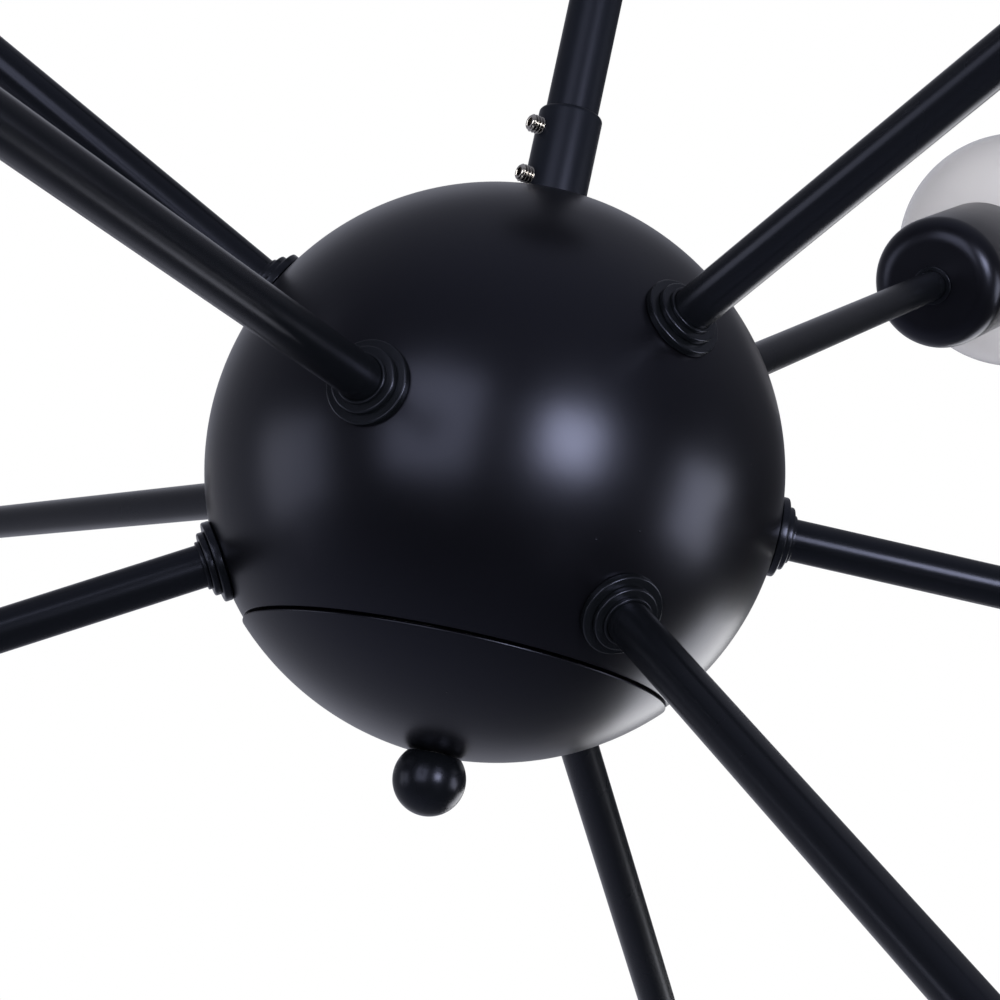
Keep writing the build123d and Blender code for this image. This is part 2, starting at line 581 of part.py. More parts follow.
def crossbar():
    """A flat bar with a slot at each end for the ceiling box's screws."""
    bar = RectangleRounded(CROSSBAR_LENGTH, CROSSBAR_WIDTH, CROSSBAR_CORNER) - Circle(CROSSBAR_HOLE_RADIUS)
    for side in (-1, 1):
        bar -= Pos(side * BOX_SCREW_SPACING / 2, 0) * SlotOverall(BOX_SLOT_LENGTH, 2 * BOX_SLOT_RADIUS)
    for x in STUD_SIDES:
        bar -= Pos(x, 0) * Circle(CANOPY_STUD_RADIUS + RUNNING_GAP)
    bar -= Pos(GROUND_SCREW_X, 0) * Circle(GROUND_SCREW_RADIUS + RUNNING_GAP)
    return extrude(bar, -CROSSBAR_THICKNESS)


def canopy_studs():
    return [Pos(x, 0, 0) * rod(CANOPY_STUD_RADIUS, CAP_NUT_CEILING + RUNNING_GAP, 0) for x in STUD_SIDES]


def canopy_cap_nuts():
    """Round nuts with a domed, closed end, under the canopy."""
    body = rod(CAP_NUT_RADIUS, CAP_NUT_FOOT, -CANOPY_DEPTH)
    body = fillet(body.edges().group_by(Axis.Z)[0], CAP_NUT_ROUNDING)
    bore = rod(CANOPY_STUD_RADIUS + RUNNING_GAP, CAP_NUT_CEILING, 0)
    return [Pos(x, 0, 0) * (body - bore) for x in STUD_SIDES]


def ground_screw():
    """A slotted round-head screw up into the crossbar."""
    head_low = -CROSSBAR_THICKNESS - GROUND_HEAD_HEIGHT
    head = rod(GROUND_HEAD_RADIUS, head_low, -CROSSBAR_THICKNESS)
    head = fillet(head.edges().group_by(Axis.Z)[0], GROUND_HEAD_ROUNDING)
    head -= Pos(0, 0, head_low) * Box(2 * GROUND_HEAD_RADIUS, GROUND_SLOT_WIDTH, 2 * GROUND_SLOT_DEPTH)
    return Pos(GROUND_SCREW_X, 0, 0) * (head + rod(GROUND_SCREW_RADIUS, -CROSSBAR_THICKNESS, 0))


# ---------------------------------------------------------------- assembly
def group(solids):
    """Several separate solids in one node."""
    return Compound(children=[solid for shape in solids for solid in shape.solids()])


def on_arms(shape):
    """One copy of a piece on every arm."""
    return [place * shape for place in arm_places()]


def build_nodes():
    """Every node's solids, by name, in place."""
    nodes = {
        "hub_upper_shell": [hub_upper_shell()],
        "hub_lower_cap": [hub_lower_cap()],
        "finial_ball": [finial_ball()],
        "hub_bracket": [hub_bracket()],
        "collar_nuts": collar_nuts(),
        "cap_stud": [cap_stud()],
        "stud_nuts": stud_nuts(),
        "stem_collar": [stem_collar()],
        "stem_tube": [stem_tube()],
        "supply_leads": supply_leads(),
        "lead_splice": [lead_splice()],
        "arm_rings_large": on_arms(arm_ring_large()),
        "arm_rings_small": on_arms(arm_ring_small()),
        "arm_lock_collars": on_arms(arm_lock_collar()),
        "arm_lock_washers": on_arms(arm_lock_washer()),
        "arm_lock_nuts": on_arms(arm_lock_nut()),
        "cup_end_collars": on_arms(cup_end_collar()),
        "cup_lock_nuts": on_arms(cup_lock_nut()),
        "lamp_holders": on_arms(lamp_holder()),
        "lamp_screw_shells": on_arms(lamp_screw_shell()),
        "lamp_centre_contacts": on_arms(lamp_centre_contact()),
    }
    tilts = [tilt for tilt in ROW_TILTS.values() for _ in range(ARMS_PER_ROW)]
    nodes["arm_leads"] = [place * lead for place, tilt in zip(arm_places(), tilts) for lead in arm_leads(tilt)]
    for name, height in SET_SCREW_HEIGHTS.items():
        nodes[f"set_screw_{name}"] = [set_screw_place(height) * set_screw()]
    for number, place in enumerate(arm_places(), start=1):
        nodes[f"arm_tube_{number}"] = [place * arm_tube()]
        nodes[f"socket_cup_{number}"] = [place * socket_cup()]
        nodes[f"bulb_{number}"] = [place * solid for solid in bulb()]
    nodes = {name: [in_hub(shape) for shape in shapes] for name, shapes in nodes.items()}

    swivel = Pos(0, 0, -SWIVEL_DROP)
    nodes["swivel_ball"] = [swivel * swivel_ball()]
    nodes["swivel_grub_screw"] = [swivel * swivel_grub_screw()]
    nodes["swivel_seat_ring"] = [swivel * swivel_seat_ring()]
    nodes["canopy"] = [canopy()]
    nodes["crossbar"] = [crossbar()]
    nodes["canopy_studs"] = canopy_studs()
    nodes["canopy_cap_nuts"] = canopy_cap_nuts()
    nodes["ground_screw"] = [ground_screw()]
    return nodes


os.makedirs("parts", exist_ok=True)
for name, shapes in build_nodes().items():
    export_step(group(shapes), f"parts/{name}.step")
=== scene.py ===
"""The looks of a sputnik chandelier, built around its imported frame.

A hollow black ball hangs on a stem. Nine straight arms stand out of it in three rows, and each carries a lamp
cup with an opal globe bulb. Lengths are in millimetres until a mesh is written, which is in metres. Whatever
is turned is a surface worked out from an outline, and the pieces inside the ball and the canopy keep their
frame meshes.
"""

from __future__ import annotations

import json
import logging
import math
from dataclasses import dataclass
from enum import Enum

import bmesh
import bpy
import numpy as np
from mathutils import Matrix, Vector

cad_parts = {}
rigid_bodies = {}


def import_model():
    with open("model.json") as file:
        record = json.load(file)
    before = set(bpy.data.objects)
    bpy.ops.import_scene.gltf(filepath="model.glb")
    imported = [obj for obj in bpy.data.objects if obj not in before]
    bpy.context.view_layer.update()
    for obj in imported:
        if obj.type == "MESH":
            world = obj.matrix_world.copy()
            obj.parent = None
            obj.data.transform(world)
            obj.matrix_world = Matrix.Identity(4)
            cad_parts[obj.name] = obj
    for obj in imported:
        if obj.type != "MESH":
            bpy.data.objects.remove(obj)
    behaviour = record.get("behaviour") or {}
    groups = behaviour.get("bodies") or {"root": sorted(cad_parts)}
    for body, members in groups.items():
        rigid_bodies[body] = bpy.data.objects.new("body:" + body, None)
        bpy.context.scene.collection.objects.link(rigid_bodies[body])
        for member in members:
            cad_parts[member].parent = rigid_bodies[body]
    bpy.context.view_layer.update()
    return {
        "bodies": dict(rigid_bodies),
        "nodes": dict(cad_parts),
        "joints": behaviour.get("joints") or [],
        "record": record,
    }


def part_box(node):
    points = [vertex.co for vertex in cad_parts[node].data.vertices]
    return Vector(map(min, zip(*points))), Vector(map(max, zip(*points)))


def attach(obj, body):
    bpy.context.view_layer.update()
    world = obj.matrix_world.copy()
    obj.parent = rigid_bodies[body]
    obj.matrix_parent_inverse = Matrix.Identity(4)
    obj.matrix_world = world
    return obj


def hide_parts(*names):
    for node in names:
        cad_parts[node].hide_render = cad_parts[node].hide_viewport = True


LOG = logging.getLogger("chandelier")
MM = 0.001
WHITE = (1.0, 1.0, 1.0, 1.0)
MATH, MIX_SHADER, MAP_RANGE = "ShaderNodeMath", "ShaderNodeMixShader", "ShaderNodeMapRange"

Array = np.ndarray
Pair = tuple[float, float]
Triple = tuple[float, float, float]
Tree = bpy.types.NodeTree
Socket = bpy.types.NodeSocket


# ---------------- slots and bodies
class Slot(Enum):
    """The material slots of the record."""

    PAINT = "satin_black_paint"
    ZINC = "zinc_plated_steel"
    STEEL = "bright_steel"
    PORCELAIN = "glazed_porcelain"
    BRASS = "brass"
    OPAL = "opal_glass"
    LEAD = "lead_insulation"
    TAPE = "splice_tape"
    NYLON = "nylon"
    GREEN = "green_screw"


class Body(Enum):
    """The bodies of the larger pieces. Each bulb and each set screw rides on one of its own."""

    CEILING = "ceiling_fixing"
    CHANDELIER = "chandelier"
    LOWER_CAP = "lower_cap"
    FINIAL = "finial"


# ---------------- outlines and surfaces
@dataclass(frozen=True)
class Placement:
    """Where a piece's own axis stands in the frame: it starts at origin and runs along axis."""

    origin: Triple
    axis: Triple = (0.0, 0.0, 1.0)

    def apply(self, points: Array) -> Array:
        """Turns local points to the axis and moves them to the origin.

        The two side directions come from cross products of the axis with whichever of X and Y it leans to
        least.

        Args:
            points: Local points in mm, with the axis along Z.

        Returns:
            The points in the part's frame, in mm.
        """
        along = np.array(self.axis) / np.linalg.norm(self.axis)
        helper = np.eye(3)[int(np.argmin(np.abs(along)[:2]))]
        side = np.cross(helper, along)
        side /= np.linalg.norm(side)
        basis = np.stack([side, np.cross(along, side), along])
        return points @ basis + np.array(self.origin)


@dataclass(frozen=True)
class Surface:
    """Points in mm and the four-sided faces that join them."""

    points: Array
    faces: Array

    def placed(self, place: Placement) -> Surface:
        """The surface at a placement."""
        return Surface(place.apply(self.points), self.faces)

    def flipped(self) -> Surface:
        """The surface with its faces turned over."""
        return Surface(self.points, self.faces[:, ::-1])

    def outward(self) -> Surface:
        """The surface with its faces turned outwards.

        The volume is a sixth of the sum of a . (b x c) over the triangles, and negative when they face in.

        Returns:
            This surface, or its flipped copy.
        """
        a, b, c, d = (self.points[self.faces[:, i]] for i in range(4))
        volume = np.einsum("ij,ij->", a, np.cross(b, c)) + np.einsum("ij,ij->", a, np.cross(c, d))
        return self if volume > 0 else self.flipped()


def joined(surfaces: list[Surface]) -> Surface:
    """Several surfaces as one, with the faces' numbers moved on by the points before them.

    Args:
        surfaces: The surfaces, in order.

    Returns:
        The one surface.
    """
    starts = np.cumsum([0] + [len(s.points) for s in surfaces[:-1]])
    faces = [s.faces + start for s, start in zip(surfaces, starts)]
    return Surface(np.concatenate([s.points for s in surfaces]), np.concatenate(faces))


def grid(points: Array, ends_meet: bool) -> Surface:
    """Joins a grid of points into a surface that is closed around its axis.

    Args:
        points: Rows along the outline, columns around the axis, shape (rows, columns, 3).
        ends_meet: Whether the last row joins the first.

    Returns:
        The surface, facing outwards.
    """
    rows, columns = points.shape[:2]
    row = np.arange(rows if ends_meet else rows - 1)[:, None]
    column = np.arange(columns)[None, :]
    here, there = row * columns, (row + 1) % rows * columns
    after = (column + 1) % columns
    faces = np.stack(np.broadcast_arrays(here + column, here + after, there + after, there + column), axis=-1)
    return Surface(points.reshape(-1, 3), faces.reshape(-1, 4)).outward()


def angles(sides: int) -> Array:
    """Equal steps once around the axis."""
    return np.linspace(0, 2 * np.pi, sides, endpoint=False)


def around(radius: Array, height: Array, angle: Array) -> Array:
    """Points around the axis: radius r, height z and angle t give (r cos t, r sin t, z)."""
    return np.stack(np.broadcast_arrays(radius * np.cos(angle), radius * np.sin(angle), height), axis=-1)


def turned(outline: Array, sides: int) -> Surface:
    """The surface of revolution of an outline, each point of which goes around the axis.

    An outline that ends on the axis at both ends stays open there, and any other is closed from its last
    point to its first.

    Args:
        outline: Points (radius, height) in mm.
        sides: Steps around the axis.

    Returns:
        The closed surface.
    """
    points = around(outline[:, :1], outline[:, 1:], angles(sides))
    return grid(points, ends_meet=bool(outline[0, 0] or outline[-1, 0]))


def arc(centre: Pair, start: Pair, end: Pair, steps: int) -> Array:
    """Points on an arc the shorter way round, in the plane of radius and height.

    Formula: centre + (s cos t, s sin t), where distance s and angle t run evenly from start's to end's.

    Args:
        centre: The arc's centre (radius, height) in mm.
        start: Its first point.
        end: Its last point.
        steps: Steps along it.

    Returns:
        The outline's points.
    """
    first, last = np.subtract(start, centre), np.subtract(end, centre)
    first_angle, last_angle = (math.atan2(point[1], point[0]) for point in (first, last))
    turn = (last_angle - first_angle + math.pi) % (2 * math.pi) - math.pi
    share = np.linspace(0, 1, steps + 1)
    angle = first_angle + turn * share
    reach = np.hypot(*first) + (np.hypot(*last) - np.hypot(*first)) * share
    return np.array(centre) + np.stack([reach * np.cos(angle), reach * np.sin(angle)], axis=1)


def filleted(corners: list[Triple], steps: int) -> Array:
    """An outline of straight runs with rounded corners.

    Formula: a fillet of radius q at a corner of angle f starts and ends q / tan(f / 2) from the corner, and
    its centre lies q / sin(f / 2) from it on the bisector.

    Args:
        corners: (radius, height, fillet radius) of each corner in mm, in order.
        steps: Steps along each fillet.

    Returns:
        The outline's points.
    """
    places = np.array([corner[:2] for corner in corners])
    runs = []
    for i, (_, _, rounding) in enumerate(corners):
        corner = places[i]
        if not rounding:
            runs.append(corner[None, :])
            continue
        before, after = places[i - 1] - corner, places[(i + 1) % len(places)] - corner
        before, after = before / np.linalg.norm(before), after / np.linalg.norm(after)
        half = math.acos(float(np.clip(before @ after, -1, 1))) / 2
        reach = rounding / math.tan(half)
        bisector = (before + after) / np.linalg.norm(before + after)
        centre = corner + bisector * rounding / math.sin(half)
        runs.append(arc(tuple(centre), tuple(corner + before * reach), tuple(corner + after * reach), steps))
    return np.concatenate(runs)


def sleeve(outer: float, inner: float, low: float, high: float, rounding: float = 0.0) -> Array:
    """The outline of a plain tube, with its outer edges rounded."""
    corners = [(outer, low, rounding), (outer, high, rounding), (inner, high, 0), (inner, low, 0)]
    return filleted(corners, steps=6)


# ---------------- pieces
@dataclass(frozen=True)
class Edge:
    """How far a piece's sharp edges are broken, in mm, and from what angle an edge counts as sharp."""

    width: float = 0.18
    sharp_degrees: float = 32.0
    segments: int = 3


FINE_EDGE = Edge(0.1)
SCREW_EDGE = Edge(0.03, 40.0, 2)


def add_object(
    name: str, data: bpy.types.ID, axes: Array = np.eye(3), place: Array = np.zeros(3)
) -> bpy.types.Object:
    """Links a new object to the scene.

    Args:
        name: The object's name.
        data: Its mesh, lamp or camera.
        axes: Its three axes as columns.
        place: Its place in metres.

    Returns:
        The object.
    """
    matrix = np.eye(4)
    matrix[:3, :3], matrix[:3, 3] = axes, place
    thing = bpy.data.objects.new(name, data)
    thing.matrix_world = matrix.T.tolist()
    bpy.context.scene.collection.objects.link(thing)
    return thing


def make_piece(
    name: str,
    surface: Surface,
    material: bpy.types.Material,
    body: str,
    nodes: tuple[str, ...],
    edge: Edge | None = Edge(),
) -> None:
    """Writes a surface as an object that rides on a body.

    Args:
        name: The piece's name.
        surface: Its points and faces, in the part's frame.
        material: Its finish.
        body: The body that it rides on.
        nodes: The frame's nodes that it stands for.
        edge: How its sharp edges are broken, or None to leave them.
    """
    mesh = bpy.data.meshes.new(name)
    mesh.from_pydata(surface.points * MM, [], surface.faces)
    mesh.validate()
    close_poles(mesh)
    mesh.shade_smooth()
    mesh.materials.append(material)
    piece = add_object(name, mesh)
    if edge:
        bevel = piece.modifiers.new("broken_edges", "BEVEL")
        bevel.width = edge.width * MM
        bevel.segments = edge.segments
        bevel.limit_method = "ANGLE"
        bevel.angle_limit = math.radians(edge.sharp_degrees)
        bevel.harden_normals = True
    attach(piece, body)
    if nodes:
        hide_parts(*nodes)
    report(piece, nodes)


def report(piece: bpy.types.Object, nodes: tuple[str, ...]) -> None:
    """Logs a piece, and how far its box is from that of the nodes that it stands for, in mm.

    Args:
        piece: The piece.
        nodes: The nodes.
    """
    if not nodes:
        LOG.info("%s", piece.name)
        return
    points = np.empty(len(piece.data.vertices) * 3, np.float32)
    piece.data.vertices.foreach_get("co", points)
    points = points.reshape(-1, 3)
    boxes = np.array([[list(corner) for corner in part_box(node)] for node in nodes])
    low, high = boxes[:, 0].min(axis=0), boxes[:, 1].max(axis=0)
    gap = max(np.abs(points.min(axis=0) - low).max(), np.abs(points.max(axis=0) - high).max()) / MM
    LOG.info("%s stands for %s, %.2f mm from its box", piece.name, ", ".join(nodes), gap)


def close_poles(mesh: bpy.types.Mesh) -> None:
    """Merges the points that fall together where an outline meets its axis.

    Args:
        mesh: The piece's mesh, in metres.
    """
    work = bmesh.new()
    work.from_mesh(mesh)
    bmesh.ops.remove_doubles(work, verts=work.verts, dist=1e-8)
    bmesh.ops.dissolve_degenerate(work, edges=work.edges, dist=1e-9)
    work.to_mesh(mesh)
    work.free()


# ---------------- shader helpers
def linear(colour: str) -> tuple[float, float, float, float]:
    """A colour written as sRGB hex, in linear light.

    Args:
        colour: Such as "#1A1B20".

    Returns:
        Red, green, blue and a solid alpha.
    """
    values = np.array([int(colour[i : i + 2], 16) for i in (1, 3, 5)]) / 255
    light = np.where(values <= 0.04045, values / 12.92, ((values + 0.055) / 1.055) ** 2.4)
    return (*light.tolist(), 1.0)


def connect(tree: Tree, node: bpy.types.Node, inputs: dict) -> None:
    """Fills a node's sockets.

    Args:
        tree: The node tree.
        node: The node.
        inputs: A value, or the output that it is linked to, for each socket's name or number.
    """
    for key, value in inputs.items():
        if isinstance(value, Socket):
            tree.links.new(value, node.inputs[key])
        else:
            node.inputs[key].default_value = value


def add_node(
    tree: Tree, kind: str, inputs: dict | None = None, output: str | int = 0, **settings: object
) -> Socket:
    """Adds a shader node.

    Args:
        tree: The node tree.
        kind: The node's type name.
        inputs: What goes into its sockets.
        output: The name or number of the output that is wanted.
        settings: Its properties by name.

    Returns:
        That output.
    """
    node = tree.nodes.new(kind)
    for key, value in settings.items():
        setattr(node, key, value)
    connect(tree, node, inputs or {})
    return node.outputs[output]


def between(value: Socket, start: float, end: float, low: float, high: float) -> dict:
    """The inputs that map a value between start and end to between low and high."""
    return {"Value": value, "From Min": start, "From Max": end, "To Min": low, "To Max": high}


def patches(tree: Tree, size_mm: float, detail: float = 1.0) -> Socket:
    """A cloudy pattern on Object coordinates, whose patches are about as wide as the size.

    Args:
        tree: The node tree.
        size_mm: The width of a patch.
        detail: How many finer layers it has.

    Returns:
        The pattern, which keeps mostly to between 0.3 and 0.7.
    """
    place = add_node(tree, "ShaderNodeTexCoord", output="Object")
    inputs = {"Vector": place, "Scale": 1 / (size_mm * MM), "Detail": detail, "Roughness": 0.5}
    return add_node(tree, "ShaderNodeTexNoise", inputs, "Fac")


def drift(tree: Tree, size_mm: float, low: float, high: float, detail: float = 3.0) -> Socket:
    """A value that drifts in patches: their usual range, 0.3 to 0.7, opened out to between low and high."""
    return add_node(tree, MAP_RANGE, between(patches(tree, size_mm, detail), 0.3, 0.7, low, high))


def mottled(tree: Tree, size_mm: float, shade: str, colour: str, detail: float = 3.0) -> Socket:
    """A colour that drifts in patches between a shade and a colour."""
    inputs = {0: drift(tree, size_mm, 0.0, 1.0, detail), 6: linear(shade), 7: linear(colour)}
    return add_node(tree, "ShaderNodeMix", inputs, 2, data_type="RGBA")


def embossed(tree: Tree, *layers: tuple[Socket, float]) -> Socket:
    """The direction of a skin that has bumps laid over bumps.

    Args:
        tree: The node tree.
        layers: The height pattern and the depth in mm of each, the lowest first.

    Returns:
        The skin's normal.
    """
    below = {}
    for height, depth_mm in layers:
        inputs = {"Height": height, "Strength": 1.0, "Distance": depth_mm * MM, **below}
        below = {"Normal": add_node(tree, "ShaderNodeBump", inputs)}
    return below["Normal"]


def principled(name: str) -> tuple[bpy.types.Material, Tree, bpy.types.Node]:
    """Makes a material.

    Args:
        name: Its name.

    Returns:
        The material, its node tree and its shader.
    """
    material = bpy.data.materials.new(name)
    material.use_nodes = True
    return material, material.node_tree, material.node_tree.nodes["Principled BSDF"]


# ---------------- finishes
@dataclass(frozen=True)
class Finish:
    """A finish. Each kind below says what goes into the shader's sockets."""

    name: str

    def sockets(self, tree: Tree) -> dict:
        """Adds the finish's patterns.

        Args:
            tree: The material's node tree.

        Returns:
            What goes into each socket of the shader.
        """
        raise NotImplementedError

    def build(self) -> bpy.types.Material:
        """Builds the finish.

        Returns:
            The material.
        """
        material, tree, shader = principled(self.name)
        connect(tree, shader, self.sockets(tree))
        return material


@dataclass(frozen=True)
class PowderCoat(Finish):
    """Polyester powder baked on steel: a satin skin with a faint orange peel, a fine grain and nibs of dust.

    The clear top of the film scatters blue, so it tints what it mirrors squarely and leaves a grazing
    glint white. The film's own grain, about 0.05 mm, is too fine for the render and is drawn at 0.35 mm.
    """

    name: str = "satin_powder_coat"
    colour: str = "#060609"
    sheen: str = "#D3D9FF"
    roughness: float = 0.30
    specular: float = 0.5
    roughness_drift: float = 0.02
    drift_mm: float = 25.0
    peel_mm: float = 1.6
    peel_depth_mm: float = 0.006
    grain_mm: float = 0.35
    grain_depth_mm: float = 0.0016
    nib_spacing_mm: float = 7.0
    nib_radius_mm: float = 0.22
    nib_height_mm: float = 0.06

    def nibs(self, tree: Tree) -> Socket:
        """Adds the nibs, one to each cell of a random pattern.

        Args:
            tree: The node tree.

        Returns:
            Their height, which falls from 1 at a nib's middle to 0 at its radius.
        """
        place = add_node(tree, "ShaderNodeTexCoord", output="Object")
        cells = {"Vector": place, "Scale": 1 / (self.nib_spacing_mm * MM), "Randomness": 1.0}
        distance = add_node(tree, "ShaderNodeTexVoronoi", cells, "Distance")
        edge = self.nib_radius_mm / self.nib_spacing_mm
        return add_node(tree, MAP_RANGE, between(distance, 0.0, edge, 1.0, 0.0))

    def sockets(self, tree: Tree) -> dict:
        """The black film: its colour and shine, and the skin that its peel, grain and nibs give it.

        Args:
            tree: The material's node tree.

        Returns:
            What goes into each socket of the shader.
        """
        low, high = self.roughness - self.roughness_drift, self.roughness + self.roughness_drift
        peel = (patches(tree, self.peel_mm), self.peel_depth_mm)
        grain = (patches(tree, self.grain_mm), self.grain_depth_mm)
        return {
            "Base Color": linear(self.colour),
            "Specular IOR Level": self.specular,
            "Specular Tint": linear(self.sheen),
            "Roughness": drift(tree, self.drift_mm, low, high),
            "Normal": embossed(tree, peel, grain, (self.nibs(tree), self.nib_height_mm)),
        }


@dataclass(frozen=True)
class Metal(Finish):
    """Bare or plated metal: its colour drifts a little, and fine marks from making it roughen the shine.

    Where a hollow shade depth is given, hollows about that deep are darkened by ambient occlusion, which is
    painted shade, so that threads and sockets show.
    """

    colour: str
    shade: str
    roughness: float
    mark_mm: float = 0.5
    mark_depth_mm: float = 0.002
    mark_detail: float = 2.0
    mark_roughness: Pair = (0.8, 1.25)
    patch_mm: float = 6.0
    # Painted shade in the hollows: how deep it reaches, its colour, the openness over which it fades, and its
    # samples.
    hollow_shade_depth_mm: float = 0.0
    hollow_shade_colour: str = "#2A2624"
    hollow_shade_openness: Pair = (0.5, 0.9)
    hollow_shade_samples: int = 12

    def with_painted_hollow_shade(self, tree: Tree, unshaded: Socket) -> Socket:
        """Adds painted shade: a dark colour, set by ambient occlusion, that fills the hollows and thins out
        where they open.

        Args:
            tree: The node tree.
            unshaded: The metal's colour before the painted shade.

        Returns:
            The colour with the painted shade on it.
        """
        depth = {"Distance": self.hollow_shade_depth_mm * MM}
        options = {"only_local": True, "samples": self.hollow_shade_samples}
        # Ambient occlusion darkens the hollows: this is painted shade, not a film on the metal.
        openness = add_node(tree, "ShaderNodeAmbientOcclusion", depth, "AO", **options)
        share = add_node(tree, MAP_RANGE, between(openness, *self.hollow_shade_openness, 0.0, 1.0))
        inputs = {0: share, 6: linear(self.hollow_shade_colour), 7: unshaded}
        return add_node(tree, "ShaderNodeMix", inputs, 2, data_type="RGBA")

    def sockets(self, tree: Tree) -> dict:
        """The metal: its colour, its painted shade in the hollows if it has one, and the marks in its skin.

        Args:
            tree: The material's node tree.

        Returns:
            What goes into each socket of the shader.
        """
        colour = mottled(tree, self.patch_mm, self.shade, self.colour)
        low, high = (self.roughness * share for share in self.mark_roughness)
        detail = self.mark_detail
        return {
            "Metallic": 1.0,
            "Base Color": self.with_painted_hollow_shade(tree, colour) if self.hollow_shade_depth_mm else colour,
            "Roughness": drift(tree, self.mark_mm, low, high, detail),
            "Normal": embossed(tree, (patches(tree, self.mark_mm, detail), self.mark_depth_mm)),
        }


@dataclass(frozen=True)
class Moulded(Finish):
    """Moulded plastic, glazed porcelain or wound tape: a plain shine over a drift of tone and uneven skin."""

    colour: str
    shade: str
    roughness: float
    skin_mm: float = 0.8
    skin_depth_mm: float = 0.01
    coat: float = 0.0
    coat_roughness: float = 0.08
    patch_mm: float = 9.0

    def sockets(self, tree: Tree) -> dict:
        """The body of one colour, its clear coat if it has one, and its uneven skin.

        Args:
            tree: The material's node tree.

        Returns:
            What goes into each socket of the shader.
        """
        return {
            "Base Color": mottled(tree, self.patch_mm, self.shade, self.colour),
            "Roughness": self.roughness,
            "Coat Weight": self.coat,
            "Coat Roughness": self.coat_roughness,
            "Normal": embossed(tree, (patches(tree, self.skin_mm), self.skin_depth_mm)),
        }


@dataclass(frozen=True)
class OpalGlass(Finish):
    """Blown soda-lime glass with a white powder inside it: a glossy skin over a soft, milky body."""

    name: str = "opal_glass_globe"
    colour: str = "#DCDADE"
    shade: str = "#D6D4D9"
    patch_mm: float = 30.0
    roughness: float = 0.10
    milk: float = 0.35
    depth_mm: float = 1.5
    depth_shares: Triple = (1.0, 0.98, 1.0)
    wave_mm: float = 14.0
    wave_depth_mm: float = 0.02

    def sockets(self, tree: Tree) -> dict:
        """The milky body and the wavy glass over it.

        Args:
            tree: The material's node tree.

        Returns:
            What goes into each socket of the shader.
        """
        return {
            "Base Color": mottled(tree, self.patch_mm, self.shade, self.colour, detail=2.0),
            "Roughness": self.roughness,
            "Subsurface Weight": self.milk,
            "Subsurface Radius": self.depth_shares,
            "Subsurface Scale": self.depth_mm * MM,
            "Normal": embossed(tree, (patches(tree, self.wave_mm), self.wave_depth_mm)),
        }


class Finishes:
    """Every finish of the chandelier, each built once."""

    def __init__(self) -> None:
        """Builds the materials."""
        # The ball, its cap, the cups and the canopy: black with broad, soft, bluish lights.
        self.coat = PowderCoat().build()
        # Drawn tubes and the turned knob under the same powder: a narrower, dimmer light along each.
        self.tube_coat = PowderCoat("glossier_powder_coat", "#0B0D11", roughness=0.26, specular=0.36).build()
        # Small turned rings: a crisp glint on each step, and no dust.
        self.ring_coat = PowderCoat("ring_powder_coat", "#0C0E11", roughness=0.26, nib_height_mm=0.0).build()
        # The stem and its collar: a flatter blue-black, with hardly a light on it.
        self.stem_coat = PowderCoat("flatter_powder_coat", "#11141B", roughness=0.38, specular=0.34).build()
        # Nickel over cut threads: bright crests, with painted shade, dark brown, laid between them by ambient
        # occlusion.
        plate = Metal("nickel_plate_painted_hollow_shade", "#EFEBE6", "#DCD7D2", 0.12, 0.25, 0.001, hollow_shade_depth_mm=0.9)
        self.screw_plate = plate.build()
        self.by_slot = {
            Slot.PAINT: self.coat,
            # Barrel plating: a grey, cloudy shine.
            Slot.ZINC: Metal("zinc_plated_steel", "#B9BBBE", "#A7A9AA", 0.34).build(),
            # Nickel over rolled steel: near to a mirror, a little warm.
            Slot.STEEL: Metal("bright_nickel_plate", "#DEDBD7", "#C9C5C1", 0.09, 0.25, 0.001).build(),
            # Fired clay under a clear glaze: a warm white that looks wet.
            Slot.PORCELAIN: Moulded("glazed_porcelain", "#E9E5DC", "#E1DDD3", 0.3, 1.2, 0.01, 0.6).build(),
            # Pressed sheet: a soft yellow shine.
            Slot.BRASS: Metal("brass_sheet", "#D9BB74", "#C4A35E", 0.26).build(),
            Slot.OPAL: OpalGlass().build(),
            # Drawn vinyl: smooth and dark, with a broad shine.
            Slot.LEAD: Moulded("pvc_lead", "#1C1D20", "#17181A", 0.35).build(),
            # Wound vinyl: dull and lumpy.
            Slot.TAPE: Moulded("pvc_tape", "#202124", "#17181A", 0.5, 2.0, 0.12).build(),
            # Undyed nylon from a mould: a creamy, waxy white.
            Slot.NYLON: Moulded("natural_nylon", "#DEDACC", "#D3CFC0", 0.42).build(),
            # Dyed plating: green that still shines as metal.
            Slot.GREEN: Metal("green_dyed_zinc", "#2E8B47", "#257A3C", 0.34).build(),
        }

    def dress_frame(self, frame: dict) -> None:
        """Gives each of the frame's own nodes the finish of its slot.

        Args:
            frame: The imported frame.
        """
        for row in frame["record"]["subparts"]:
            node = frame["nodes"][row["node"]]
            node.data.materials.clear()
            node.data.materials.append(self.by_slot[Slot(row["material_slot"])])


